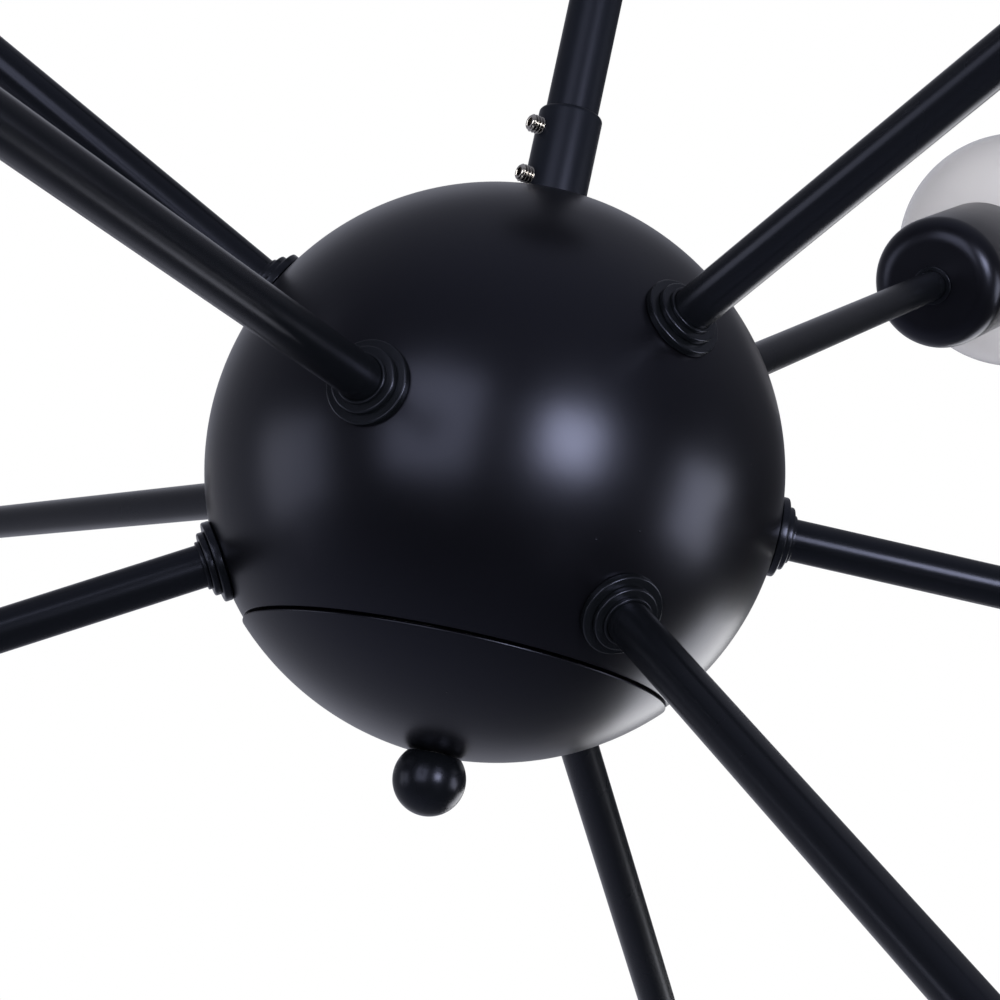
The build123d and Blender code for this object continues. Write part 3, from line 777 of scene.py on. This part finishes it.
# ---------------- the ball
@dataclass(frozen=True)
class Ball:
    """The hollow ball: an upper shell, a shallow lower cap with a rolled lip, and the knob that holds it."""

    centre: Triple
    radius: float = 64.0
    wall: float = 1.5
    seat_radius: float = 9.0
    spigot_hole: float = 5.05
    seam_drop: float = 43.4
    seam_gap: float = 0.35
    cap_proud: float = 0.6
    lip_height: float = 0.6
    lip_steps: int = 12
    cap_hole: float = 3.3
    knob_radius: float = 8.0
    knob_sink: float = 2.6
    knob_gap: float = 0.1
    knob_hole: float = 3.05
    knob_hole_depth: float = 10.0
    sides: int = 256
    knob_sides: int = 96

    def shell_outline(self) -> Array:
        """Outer sphere up from the rim, the flat under the collar, and the inner sphere back down.

        Returns:
            The outline's points.
        """
        seat = math.sqrt(self.radius**2 - self.seat_radius**2)

        def on_sphere(radius: float, height: float) -> Pair:
            """The point at height z on a sphere of radius R about the ball's centre: sqrt(R^2 - z^2) out."""
            return (math.sqrt(radius**2 - height**2), height)

        inner = self.radius - self.wall
        rim, rim_inner = (on_sphere(radius, -self.seam_drop) for radius in (self.radius, inner))
        outside = arc((0, 0), rim, (self.seat_radius, seat), steps=120)
        hole = [(self.spigot_hole, seat), (self.spigot_hole, seat - self.wall)]
        inside = arc((0, 0), on_sphere(inner, seat - self.wall), rim_inner, steps=90)
        return np.concatenate([outside, hole, inside])

    def cap_outline(self) -> Array:
        """A dish a little wider than the shell's rim, with a lip of half an ellipse around its edge.

        Formula: a dish of rim radius r and depth h is part of a sphere of radius (r^2 + h^2) / 2h.

        Returns:
            The outline's points.
        """
        top = -self.seam_drop - self.seam_gap
        depth = self.radius + top
        rim_radius = math.sqrt(self.radius**2 - self.seam_drop**2) + self.cap_proud
        dish = (rim_radius**2 + depth**2) / (2 * depth)
        middle = (0.0, dish - self.radius)
        base = top - self.lip_height

        def at_base(radius: float) -> Pair:
            """The point of the dish's sphere, or of its inside, at the foot of the lip."""
            return (math.sqrt(radius**2 - (base - middle[1]) ** 2), base)

        def at_hole(radius: float) -> Pair:
            """The point of the dish's sphere, or of its inside, at the edge of the hole."""
            return (self.cap_hole, middle[1] - math.sqrt(radius**2 - self.cap_hole**2))

        lip, lip_inner = at_base(dish), at_base(dish - self.wall)
        half = (lip[0] - lip_inner[0]) / 2
        turn = np.linspace(math.pi, 0, self.lip_steps + 1)[1:-1]
        crest = np.stack([lip[0] - half + half * np.cos(turn), base + self.lip_height * np.sin(turn)], axis=1)
        outside = arc(middle, lip, at_hole(dish), steps=60)
        inside = arc(middle, at_hole(dish - self.wall), lip_inner, steps=60)
        return np.concatenate([outside, inside, crest])

    def knob_outline(self) -> Array:
        """A ball with a flat seat on top and a blind hole for the stud.

        Returns:
            The outline's points.
        """
        seat = -self.radius - self.knob_gap
        middle = seat + self.knob_sink - self.knob_radius
        reach = math.sqrt(self.knob_radius**2 - (self.knob_radius - self.knob_sink) ** 2)
        floor = seat - self.knob_hole_depth
        sphere = arc((0, middle), (0, middle - self.knob_radius), (reach, seat), steps=60)
        return np.concatenate([sphere, [(self.knob_hole, seat), (self.knob_hole, floor), (0, floor)]])

    def build(self, finishes: Finishes) -> None:
        """Builds the three pieces.

        Args:
            finishes: The materials.
        """
        place = Placement(self.centre)
        shell = turned(self.shell_outline(), self.sides).placed(place)
        cap = turned(self.cap_outline(), self.sides).placed(place)
        knob = turned(self.knob_outline(), self.knob_sides).placed(place)
        make_piece("ball_upper_shell", shell, finishes.coat, Body.CHANDELIER.value, ("hub_upper_shell",))
        make_piece("ball_lower_cap", cap, finishes.coat, Body.LOWER_CAP.value, ("hub_lower_cap",))
        make_piece("knob", knob, finishes.tube_coat, Body.FINIAL.value, ("finial_ball",))


# ---------------- the arms
@dataclass(frozen=True)
class Arms:
    """Nine tubes with stepped rings at the ball, and a lamp cup and an opal globe at the far end of each.

    Heights are measured along an arm from the ball's centre. Each upper ring is given by its piece's name,
    the node that it stands for, its radius, its top and the rounding of its edge. The large ring is given by
    its radius and top, and the cup's collar by its radius, height and edge.
    """

    centre: Triple
    directions: list[Triple]
    ball_radius: float = Ball.radius
    tube_radius: float = 4.75
    tube_bore: float = 3.55
    tube_hole: float = 4.8
    tube_start: float = 51.99
    tube_end: float = 321.7
    large_ring: Pair = (9.0, 65.4)
    large_ring_lift: float = 0.12
    large_ring_edge: float = 0.4
    upper_rings: tuple[tuple[str, str, float, float, float], ...] = (
        ("base_rings_small", "arm_rings_small", 7.1, 67.0, 0.4),
        ("base_rings_lock", "arm_lock_collars", 5.4, 67.9, 0.2),
    )
    cup_start: float = 310.0
    cup_end: float = 359.0
    cup_radius: float = 21.3
    cup_wall: float = 1.2
    cup_rounding: float = 7.5
    cup_collar: Triple = (6.2, 1.5, 0.3)
    ring_sides: int = 96
    tube_sides: int = 64
    cup_sides: int = 128

    def large_ring_outline(self) -> Array:
        """The lowest ring: hollowed to the ball under its middle, with a rounded rim just clear of it.

        Returns:
            The outline's points.
        """
        radius, top = self.large_ring
        low = math.sqrt(self.ball_radius**2 - radius**2) + self.large_ring_lift
        inner = (self.tube_hole, math.sqrt(self.ball_radius**2 - self.tube_hole**2))
        foot = (math.sqrt(self.ball_radius**2 - low**2), low)
        edge = self.large_ring_edge
        corners = [(*foot, 0), (radius, low, edge), (radius, top, edge), (self.tube_hole, top, 0)]
        rim = filleted(corners, steps=8)
        return np.concatenate([arc((0, 0), inner, foot, steps=12), rim[1:]])

    def cup_outline(self) -> Array:
        """A cup with a rounded back, open at the front.

        Returns:
            The outline's points.
        """
        floor, inner = self.cup_start + self.cup_wall, self.cup_radius - self.cup_wall
        lip = self.cup_wall / 3
        return filleted(
            [
                (self.tube_hole, self.cup_start, 0),
                (self.cup_radius, self.cup_start, self.cup_rounding),
                (self.cup_radius, self.cup_end, lip),
                (inner, self.cup_end, lip),
                (inner, floor, self.cup_rounding - self.cup_wall),
                (self.tube_hole, floor, 0),
            ],
            steps=16,
        )

    def build_rings(self, finishes: Finishes) -> None:
        """Builds the three steps at the foot of every arm, and the collar behind every cup.

        Args:
            finishes: The materials.
        """
        rings = [("base_rings_large", "arm_rings_large", self.large_ring_outline(), finishes.ring_coat)]
        low = self.large_ring[1]
        for name, node, radius, top, edge in self.upper_rings:
            rings.append((name, node, sleeve(radius, self.tube_hole, low, top, edge), finishes.ring_coat))
            low = top
        radius, height, edge = self.cup_collar
        collar = sleeve(radius, self.tube_hole, self.cup_start - height, self.cup_start, edge)
        rings.append(("cup_collars", "cup_end_collars", collar, finishes.tube_coat))
        for name, node, outline, paint in rings:
            ring = turned(outline, self.ring_sides)
            nine = joined([ring.placed(Placement(self.centre, way)) for way in self.directions])
            make_piece(name, nine, paint, Body.CHANDELIER.value, (node,), edge=FINE_EDGE)

    def build(self, finishes: Finishes) -> None:
        """Builds every arm.

        Args:
            finishes: The materials.
        """
        self.build_rings(finishes)
        tube_outline = sleeve(self.tube_radius, self.tube_bore, self.tube_start, self.tube_end)
        tube, cup = turned(tube_outline, self.tube_sides), turned(self.cup_outline(), self.cup_sides)
        body = Body.CHANDELIER.value
        for number, way in enumerate(self.directions, start=1):
            place = Placement(self.centre, way)
            tube_here, cup_here = tube.placed(place), cup.placed(place)
            make_piece(f"arm_{number}", tube_here, finishes.tube_coat, body, (f"arm_tube_{number}",))
            make_piece(f"lamp_cup_{number}", cup_here, finishes.coat, body, (f"socket_cup_{number}",))
            Bulb(place, number).build(finishes)


@dataclass(frozen=True)
class Bulb:
    """A globe bulb: an opal envelope, and a rolled metal screw cap with its insulator and contact."""

    place: Placement
    number: int
    start: float = 324.2
    tip_radius: float = 4.5
    tip_height: float = 1.0
    tip_edge: float = 0.4
    insulator_height: float = 4.0
    insulator_inset: float = 0.6
    cap_radius: float = 13.0
    cap_length: float = 22.0
    cap_recess: float = 1.0
    cap_lap: float = 0.05
    thread_pitch: float = 3.6
    thread_depth: float = 0.9
    thread_rows: int = 110
    plain_share: float = 0.6
    globe_radius: float = 40.5
    globe_centre: float = 402.23
    glass: float = 0.8
    neck_radius: float = 13.6
    neck_sweep: float = 18.0
    plug_radius: float = 12.45
    plug_length: float = 7.0
    cap_sides: int = 96
    glass_sides: int = 128

    @property
    def cap_start(self) -> float:
        """Where the screw cap starts, above the insulator."""
        return self.start + self.tip_height + self.insulator_height

    @property
    def cap_end(self) -> float:
        """Where the screw cap meets the glass."""
        return self.cap_start + self.cap_length

    def envelope(self, wall: float) -> Array:
        """The glass's outline: a plug in the cap, a neck, a hollow sweep and the globe.

        The sweep's arc touches the globe where the line between their centres crosses it.

        Args:
            wall: How far the outline is drawn in.

        Returns:
            The outline's points.
        """
        pivot_radius = self.neck_radius + self.neck_sweep
        reach = self.globe_radius + self.neck_sweep
        pivot = (pivot_radius, self.globe_centre - math.sqrt(reach**2 - pivot_radius**2))
        share = (self.neck_sweep + wall) / reach
        join = (pivot[0] * (1 - share), pivot[1] + (self.globe_centre - pivot[1]) * share)
        foot, shoulder = self.cap_end - self.plug_length + wall, self.cap_end + wall
        plug, neck = self.plug_radius - wall, self.neck_radius - wall
        top = (0.0, self.globe_centre + self.globe_radius - wall)
        return np.concatenate(
            [
                [(0.0, foot), (plug, foot), (plug, shoulder), (neck, shoulder)],
                arc(pivot, (neck, pivot[1]), join, steps=24),
                arc((0.0, self.globe_centre), join, top, steps=90)[1:],
            ]
        )

    def cap_surface(self) -> Surface:
        """The screw cap with its rolled thread, closed by the insulator's cone and the contact.

        Formula: the thread's radius is r = m + a cos(2 pi z / p - t), with m the mean radius, a half the
        depth, p the pitch and t the angle, and a fades to nothing over half a turn at each end.

        Returns:
            The closed surface.
        """
        angle = angles(self.cap_sides)
        height = np.linspace(self.cap_start, self.cap_end, self.thread_rows)[:, None]
        inset = np.minimum(height - self.cap_start, self.cap_end - height)
        fade = np.clip(inset / (self.thread_pitch / 2), 0, 1)
        mean, half = self.cap_radius - self.thread_depth / 2, self.thread_depth / 2
        wave = np.cos(2 * np.pi * height / self.thread_pitch - angle)
        radius = mean + half * (fade * wave + (1 - fade) * self.plain_share)
        neck = self.start + self.tip_height
        tip = [(0, self.start, 0), (self.tip_radius, self.start, self.tip_edge), (self.tip_radius, neck, 0)]
        cone = [(self.cap_radius - self.insulator_inset, self.cap_start - self.cap_lap)]
        bore, floor = self.cap_radius - 2 * self.thread_depth, self.cap_end - self.cap_recess
        low = np.concatenate([filleted(tip, steps=5), cone])
        high = np.array([(bore, self.cap_end), (bore, floor), (0.0, floor)])
        foot, head = (around(part[:, :1], part[:, 1:], angle) for part in (low, high))
        return grid(np.concatenate([foot, around(radius, height, angle), head]), ends_meet=False)

    def build(self, finishes: Finishes) -> None:
        """Builds the envelope and the screw cap.

        Args:
            finishes: The materials.
        """
        name, opal, steel = f"bulb_{self.number}", Slot.OPAL, Slot.STEEL
        outer, inner = (turned(self.envelope(wall), self.glass_sides) for wall in (0.0, self.glass))
        glass = joined([outer, inner.flipped()]).placed(self.place)
        cap = self.cap_surface().placed(self.place)
        make_piece(f"{name}_globe", glass, finishes.by_slot[opal], name, (name,), None)
        make_piece(f"{name}_cap", cap, finishes.by_slot[steel], name, (), None)


# ---------------- the stem
@dataclass(frozen=True)
class Stem:
    """The stem tube, its collar on the ball with two set screws, and the swivel ball at its head.

    Heights are measured up from the ball's centre, and the screws' from the collar's foot.
    """

    centre: Triple
    swivel_centre: Triple
    screw_directions: dict[str, Triple]
    tube_radius: float = 6.0
    tube_bore: float = 4.8
    foot: float = 64.764
    length: float = 300.0
    collar_radius: float = 7.3
    collar_foot: float = 63.364
    collar_length: float = 22.0
    collar_edge: float = 1.1
    spigot_radius: float = 5.0
    spigot_bore: float = 4.0
    spigot_end: float = 40.964
    hole: float = 6.05
    screw_heights: tuple[tuple[str, float], ...] = (("upper", 16.4), ("lower", 4.4))
    screw_start: float = 6.3
    swivel_radius: float = 11.0
    swivel_flat: float = 7.0
    stem_head: float = 2.9
    sides: int = 96

    def collar_outline(self) -> Array:
        """A sleeve with a rounded top, on a spigot that goes down into the ball.

        Returns:
            The outline's points.
        """
        top = self.collar_foot + self.collar_length
        return filleted(
            [
                (self.spigot_bore, self.spigot_end, 0),
                (self.spigot_radius, self.spigot_end, 0),
                (self.spigot_radius, self.collar_foot, 0),
                (self.collar_radius, self.collar_foot, 0),
                (self.collar_radius, top, self.collar_edge),
                (self.hole, top, 0),
                (self.hole, self.foot, 0),
                (self.spigot_bore, self.foot, 0),
            ],
            steps=12,
        )

    def swivel_outline(self) -> Array:
        """A ball with a flat top, a socket for the stem and a bore for the leads.

        Returns:
            The outline's points.
        """
        radius, hole, bore = self.swivel_radius, self.hole, self.spigot_bore
        top = (math.sqrt(radius**2 - self.swivel_flat**2), self.swivel_flat)
        foot = (hole, -math.sqrt(radius**2 - hole**2))
        bores = [(hole, self.stem_head), (bore, self.stem_head), (bore, top[1])]
        return np.concatenate([arc((0, 0), top, foot, steps=60), bores])

    def build(self, finishes: Finishes) -> None:
        """Builds the tube, the collar, the swivel ball and the screws.

        Args:
            finishes: The materials.
        """
        place, body = Placement(self.centre), Body.CHANDELIER.value
        steel = finishes.by_slot[Slot.STEEL]
        tube_outline = sleeve(self.tube_radius, self.tube_bore, self.foot, self.foot + self.length)
        tube = turned(tube_outline, self.sides).placed(place)
        collar = turned(self.collar_outline(), self.sides).placed(place)
        swivel = turned(self.swivel_outline(), self.sides).placed(Placement(self.swivel_centre))
        make_piece("stem", tube, finishes.stem_coat, body, ("stem_tube",))
        make_piece("collar", collar, finishes.stem_coat, body, ("stem_collar",))
        make_piece("swivel", swivel, steel, body, ("swivel_ball",))
        screw, plate = SetScrew().surface(), finishes.screw_plate
        for name, height in self.screw_heights:
            way, nodes = self.screw_directions[name], (f"set_screw_{name}",)
            out = (way[0] * self.screw_start, way[1] * self.screw_start, self.collar_foot + height)
            screw_here = screw.placed(Placement(tuple(np.add(self.centre, out)), way))
            make_piece(
                f"{name}_screw", screw_here, plate, f"{name}_set_screw", nodes, SCREW_EDGE
            )


@dataclass(frozen=True)
class SetScrew:
    """A socket set screw with a real thread, a chamfered end and a hexagon socket.

    The socket's chamfer is given by how many times wider than the flats its mouth is, and how deep it goes.
    """

    radius: float = 2.08
    depth: float = 0.42
    pitch: float = 0.794
    flank_slope: float = 2.5
    crest: float = 0.1
    length: float = 3.9
    rows: int = 150
    socket_flats: float = 2.0
    socket_depth: float = 2.0
    socket_point: float = 0.4
    socket_chamfer: Pair = (1.12, 0.12)
    sides: int = 72

    def surface(self) -> Surface:
        """The screw along its own axis, from its inner end to its socket.

        Formula: the thread's radius is R - d w, where w runs from 0 on the crest to 1 in the root and back
        over each turn of 2 pi z / p - t, and it is held under a 45 degree cone at both ends. The socket's
        radius is f / (2 cos(t mod 60 - 30)) for flats f.

        Returns:
            The closed surface.
        """
        angle = angles(self.sides)
        height = np.linspace(0, self.length, self.rows)[:, None]
        phase = (height / self.pitch - angle / (2 * np.pi)) % 1
        root = np.clip(np.abs(phase - 0.5) * self.flank_slope - self.crest, 0, 1)
        cone = self.radius - self.depth - self.crest + np.minimum(height, self.length - height)
        radius = np.minimum(self.radius - self.depth * root, cone)
        hexagon = self.socket_flats / 2 / np.cos(angle % (np.pi / 3) - np.pi / 6)
        floor = self.length - self.socket_depth
        wider, chamfer = self.socket_chamfer
        rows = [
            (np.zeros_like(angle), 0.0),
            *zip(radius, height[:, 0]),
            (hexagon * wider, self.length),
            (hexagon, self.length - chamfer),
            (hexagon, floor),
            (np.zeros_like(angle), floor - self.socket_point),
        ]
        level = np.array([row[1] for row in rows])[:, None]
        return grid(around(np.stack([row[0] for row in rows]), level, angle), ends_meet=False)


# ---------------- the canopy
@dataclass(frozen=True)
class Canopy:
    """The dish that covers the ceiling box, and the two domed nuts that hold it up."""

    radius: float = 60.0
    depth: float = 25.0
    wall: float = 1.2
    taper: float = 2.0
    rounding: float = 6.0
    hole: float = 10.5
    stud_x: float = 33.0
    nut_radius: float = 5.0
    nut_height: float = 7.0
    nut_wall: float = 1.5
    nut_bore: float = 2.05
    nut_rounding: float = 2.5
    sides: int = 192
    nut_sides: int = 64

    def dish_outline(self) -> Array:
        """A shallow dish with a rounded foot and a hole in the middle.

        Returns:
            The outline's points.
        """
        inner, floor = self.radius - self.wall, self.wall - self.depth
        return filleted(
            [
                (self.hole, -self.depth, 0),
                (self.radius - self.taper, -self.depth, self.rounding),
                (self.radius, 0, 0),
                (inner, 0, 0),
                (inner - self.taper, floor, self.rounding - self.wall),
                (self.hole, floor, 0),
            ],
            steps=16,
        )

    def nut_outline(self) -> Array:
        """A round nut with a domed, closed end.

        Returns:
            The outline's points.
        """
        foot = -self.depth - self.nut_height
        ceiling = foot + self.nut_wall
        return filleted(
            [
                (0, foot, 0),
                (self.nut_radius, foot, self.nut_rounding),
                (self.nut_radius, -self.depth, 0),
                (self.nut_bore, -self.depth, 0),
                (self.nut_bore, ceiling, 0),
                (0, ceiling, 0),
            ],
            steps=12,
        )

    def build(self, finishes: Finishes) -> None:
        """Builds the dish and the nuts.

        Args:
            finishes: The materials.
        """
        body = Body.CEILING.value
        dish, nut = turned(self.dish_outline(), self.sides), turned(self.nut_outline(), self.nut_sides)
        nuts = joined([nut.placed(Placement((x, 0.0, 0.0))) for x in (-self.stud_x, self.stud_x)])
        make_piece("canopy_dish", dish, finishes.coat, body, ("canopy",))
        make_piece("canopy_nuts", nuts, finishes.ring_coat, body, ("canopy_cap_nuts",))


# ---------------- camera, light and floor
@dataclass(frozen=True)
class View:
    """The photograph's camera, worked out from the tube edges, the seam and the ball's outline.

    The ball's centre lies on the pixel given, in a square image, and the camera stands below it at the front.
    """

    centre: Triple
    distance: float = 608.5
    below_degrees: float = 12.267
    roll_degrees: float = 12.074
    image_pixels: int = 1000
    focal_pixels: float = 2747.8
    ball_pixel: Pair = (494.9, 472.4)
    sensor_mm: float = 36.0
    clip_metres: Pair = (0.02, 40.0)

    def axes(self) -> tuple[Array, Array]:
        """The model's axes as the camera sees them.

        Camera coordinates run right, down and forwards. Up is the image's up turned by the roll and squared
        to the ray, then tipped along the ray by how far the camera stands below.

        Returns:
            The axes as rows, and the ray to the ball's centre.
        """
        middle = self.image_pixels / 2
        ray = np.array([self.ball_pixel[0] - middle, self.ball_pixel[1] - middle, self.focal_pixels])
        ray /= np.linalg.norm(ray)
        roll, below = math.radians(self.roll_degrees), math.radians(self.below_degrees)
        up = np.array([math.sin(roll), -math.cos(roll), 0.0])
        up -= (up @ ray) * ray
        up /= np.linalg.norm(up)
        z = math.cos(below) * up + math.sin(below) * ray
        y = ray - (ray @ z) * z
        y /= np.linalg.norm(y)
        return np.stack([np.cross(y, z), y, z]), ray

    def build(self) -> None:
        """Adds the camera and makes it the scene's. Blender's camera looks along its -Z with +Y up."""
        axes, ray = self.axes()
        data = bpy.data.cameras.new("photograph_view")
        data.sensor_width = self.sensor_mm
        data.lens = self.focal_pixels / self.image_pixels * self.sensor_mm
        data.clip_start, data.clip_end = self.clip_metres
        place = (np.array(self.centre) - axes @ ray * self.distance) * MM
        bpy.context.scene.camera = add_object(data.name, data, axes @ np.diag([1.0, -1.0, -1.0]), place)


def direction(azimuth: float, elevation: float) -> Triple:
    """A direction from the ball.

    Args:
        azimuth: Degrees from the front (-Y) towards +X.
        elevation: Degrees up from level.

    Returns:
        The unit vector.
    """
    around_z, up = math.radians(azimuth), math.radians(elevation)
    return (math.sin(around_z) * math.cos(up), -math.cos(around_z) * math.cos(up), math.sin(up))


@dataclass(frozen=True)
class Lamp:
    """A soft box that faces the ball, placed by where it shows from the ball's centre.

    Azimuth is measured from the front (-Y) towards +X, and elevation up from level. Sizes are in metres.
    Radiance is what the ball would mirror: 1 is the white of the backdrop.
    """

    name: str
    azimuth: float
    elevation: float
    width: float
    height: float
    radiance: float
    roll: float = 0.0
    distance: float = 1.9

    def build(self, centre: Triple) -> None:
        """Adds the lamp, with the power that gives its radiance: pi times radiance times area.

        Args:
            centre: The ball's centre in mm.
        """
        data = bpy.data.lights.new(self.name, "AREA")
        data.shape = "RECTANGLE"
        data.size, data.size_y = self.width, self.height
        data.energy = math.pi * self.radiance * self.width * self.height
        way = np.array(direction(self.azimuth, self.elevation))
        level = np.cross((0.0, 0.0, 1.0), way)
        level /= np.linalg.norm(level)
        turn = math.radians(self.roll)
        side = level * math.cos(turn) + np.cross(way, level) * math.sin(turn)
        axes = np.stack([side, np.cross(way, side), way], axis=1)
        lamp = add_object(self.name, data, axes, np.array(centre) * MM + way * self.distance)
        lamp.visible_camera = False


LAMPS = (
    Lamp("key_softbox", 25.8, 5.9, 0.63, 0.63, 16.2),
    Lamp("fill_softbox", -26.9, 3.4, 1.12, 1.28, 2.65),
    Lamp("left_panel", -85.4, -10.9, 1.04, 0.84, 1.55),
    Lamp("right_panel", 85.5, 1.2, 0.84, 0.77, 3.95),
    Lamp("rim_panel", 142.0, -15.8, 1.30, 0.80, 2.85, roll=24.0),
)


@dataclass(frozen=True)
class Patch:
    """A soft round patch of light that paint and metal mirror: full inside one angle, gone at another."""

    azimuth: float
    elevation: float
    inner: float
    outer: float
    level: float

    def build(self, tree: Tree, way: Socket) -> Socket:
        """Adds the patch: a smooth step of the angle between a direction and the patch's middle.

        Args:
            tree: The world's node tree.
            way: The direction.

        Returns:
            The patch's level in that direction.
        """
        middle = direction(self.azimuth, self.elevation)
        near = add_node(tree, "ShaderNodeVectorMath", {0: way, 1: middle}, "Value", operation="DOT_PRODUCT")
        angle = add_node(tree, MATH, {0: near}, operation="ARCCOSINE")
        levels = between(angle, math.radians(self.inner), math.radians(self.outer), self.level, 0.0)
        return add_node(tree, MAP_RANGE, levels, interpolation_type="SMOOTHSTEP")


PATCHES = {
    "backdrop": Patch(189.6, 25.2, 6.0, 39.0, 0.34),
    "low_backdrop": Patch(-177.0, -18.0, 8.0, 32.0, 0.31),
    "ceiling": Patch(0.0, 90.0, 0.0, 101.0, 0.33),
    "floor": Patch(0.0, -90.0, 0.0, 81.0, 0.155),
    "rear_left_wall": Patch(-141.5, -26.9, 0.0, 95.0, 0.33),
}


@dataclass(frozen=True)
class Studio:
    """A white backdrop all round, of which paint and metal mirror only some soft patches, and a pale floor.

    The floor's sizes are in metres. It fades into the backdrop between the two distances from its middle,
    while its share of white goes from the first to the second of the two shares.
    """

    centre: Triple
    floor_z: float = -1.15
    floor_size: float = 9.0
    floor_fade: Pair = (0.4, 1.85)
    floor_white: Pair = (0.45, 1.0)
    floor_colour: str = "#E9E9EA"
    floor_roughness: float = 0.9
    fill_level: float = 0.38
    studio_colour: str = "#EEF0FF"

    def build(self) -> None:
        """Builds the lamps, the world and the floor."""
        for lamp in LAMPS:
            lamp.build(self.centre)
        self.build_world()
        self.build_floor()
        bpy.context.scene.view_settings.view_transform = "Standard"

    def build_world(self) -> None:
        """White for the camera and through glass, patches for paint and metal to mirror, and a plain fill."""
        world = bpy.data.worlds.new("studio")
        bpy.context.scene.world = world
        world.use_nodes = True
        tree = world.node_tree
        tree.nodes.clear()
        way = add_node(tree, "ShaderNodeTexCoord", output="Generated")
        level = 0.0
        for patch in PATCHES.values():
            level = add_node(tree, MATH, {0: level, 1: patch.build(tree, way)})
        lights = ((linear(self.studio_colour), level), (WHITE, self.fill_level), (WHITE, 1.0))
        studio, fill, white = (
            add_node(tree, "ShaderNodeBackground", {"Color": colour, "Strength": strength})
            for colour, strength in lights
        )
        rays = add_node(tree, "ShaderNodeLightPath").node.outputs
        straight = {0: rays["Is Camera Ray"], 1: rays["Is Transmission Ray"]}
        sees_white = add_node(tree, MATH, straight, operation="MAXIMUM")
        lit = add_node(tree, MIX_SHADER, {0: rays["Is Glossy Ray"], 1: fill, 2: studio})
        surface = add_node(tree, MIX_SHADER, {0: sees_white, 1: lit, 2: white})
        connect(tree, tree.nodes.new("ShaderNodeOutputWorld"), {"Surface": surface})

    def build_floor(self) -> None:
        """A flat pale floor, lit by the lamps, which brightens to the backdrop's white towards its edge.

        A camera below it looks through it, because the lamp hangs overhead and is mostly seen from below.
        """
        half = self.floor_size / 2
        corners = [(-half, -half), (half, -half), (half, half), (-half, half)]
        mesh = bpy.data.meshes.new("floor")
        mesh.from_pydata([(*corner, self.floor_z) for corner in corners], [], [(0, 1, 2, 3)])
        floor = add_object("floor", mesh)
        floor.visible_glossy = False
        material, tree, shader = principled("pale_floor")
        connect(tree, shader, {"Base Color": linear(self.floor_colour), "Roughness": self.floor_roughness})
        place = add_node(tree, "ShaderNodeTexCoord", output="Object")
        parts = add_node(tree, "ShaderNodeSeparateXYZ", {"Vector": place}).node.outputs
        flat = add_node(tree, "ShaderNodeCombineXYZ", {"X": parts["X"], "Y": parts["Y"]})
        reach = add_node(tree, "ShaderNodeVectorMath", {0: flat}, "Value", operation="LENGTH")
        whiteness = add_node(tree, MAP_RANGE, between(reach, *self.floor_fade, *self.floor_white))
        from_below = add_node(tree, "ShaderNodeNewGeometry", output="Backfacing")
        camera = add_node(tree, "ShaderNodeLightPath", output="Is Camera Ray")
        glow = add_node(tree, "ShaderNodeEmission", {"Color": WHITE, "Strength": 1.0})
        clear = add_node(tree, "ShaderNodeBsdfTransparent")
        surface = shader.outputs[0]
        for share, over in ((whiteness, glow), (from_below, clear)):
            seen = add_node(tree, MATH, {0: share, 1: camera}, operation="MULTIPLY")
            surface = add_node(tree, MIX_SHADER, {0: seen, 1: surface, 2: over})
        connect(tree, tree.nodes["Material Output"], {"Surface": surface})
        mesh.materials.append(material)


# ---------------- assembly
def joint_axis(frame: dict, name: str) -> Triple:
    """The direction of a joint in the frame."""
    return next(tuple(joint["axis"]) for joint in frame["joints"] if joint["name"] == name)


def middle_of(node: str) -> Triple:
    """The middle of a node's box, in mm."""
    low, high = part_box(node)
    return tuple((low[i] + high[i]) / 2 / MM for i in range(3))


def main() -> None:
    """Loads the frame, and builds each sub-assembly and the studio.

    The ball's centre is as high as the middle of arm 4, which is level.
    """
    logging.basicConfig(level=logging.INFO, format="%(name)s: %(message)s")
    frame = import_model()
    centre = (0.0, 0.0, middle_of("arm_tube_4")[2])
    swivel = next(joint for joint in frame["joints"] if joint["name"] == "swivel_tilt")
    swivel_centre = tuple(value / MM for value in swivel["pos_m"])
    directions = [joint_axis(frame, f"bulb_{number}_unscrew") for number in range(1, 10)]
    screws = {name: joint_axis(frame, f"{name}_set_screw_out") for name in ("upper", "lower")}

    finishes = Finishes()
    finishes.dress_frame(frame)
    Ball(centre).build(finishes)
    Arms(centre, directions).build(finishes)
    Stem(centre, swivel_centre, screws).build(finishes)
    Canopy().build(finishes)
    View(centre).build()
    Studio(centre).build()


if __name__ == "__main__":
    main()
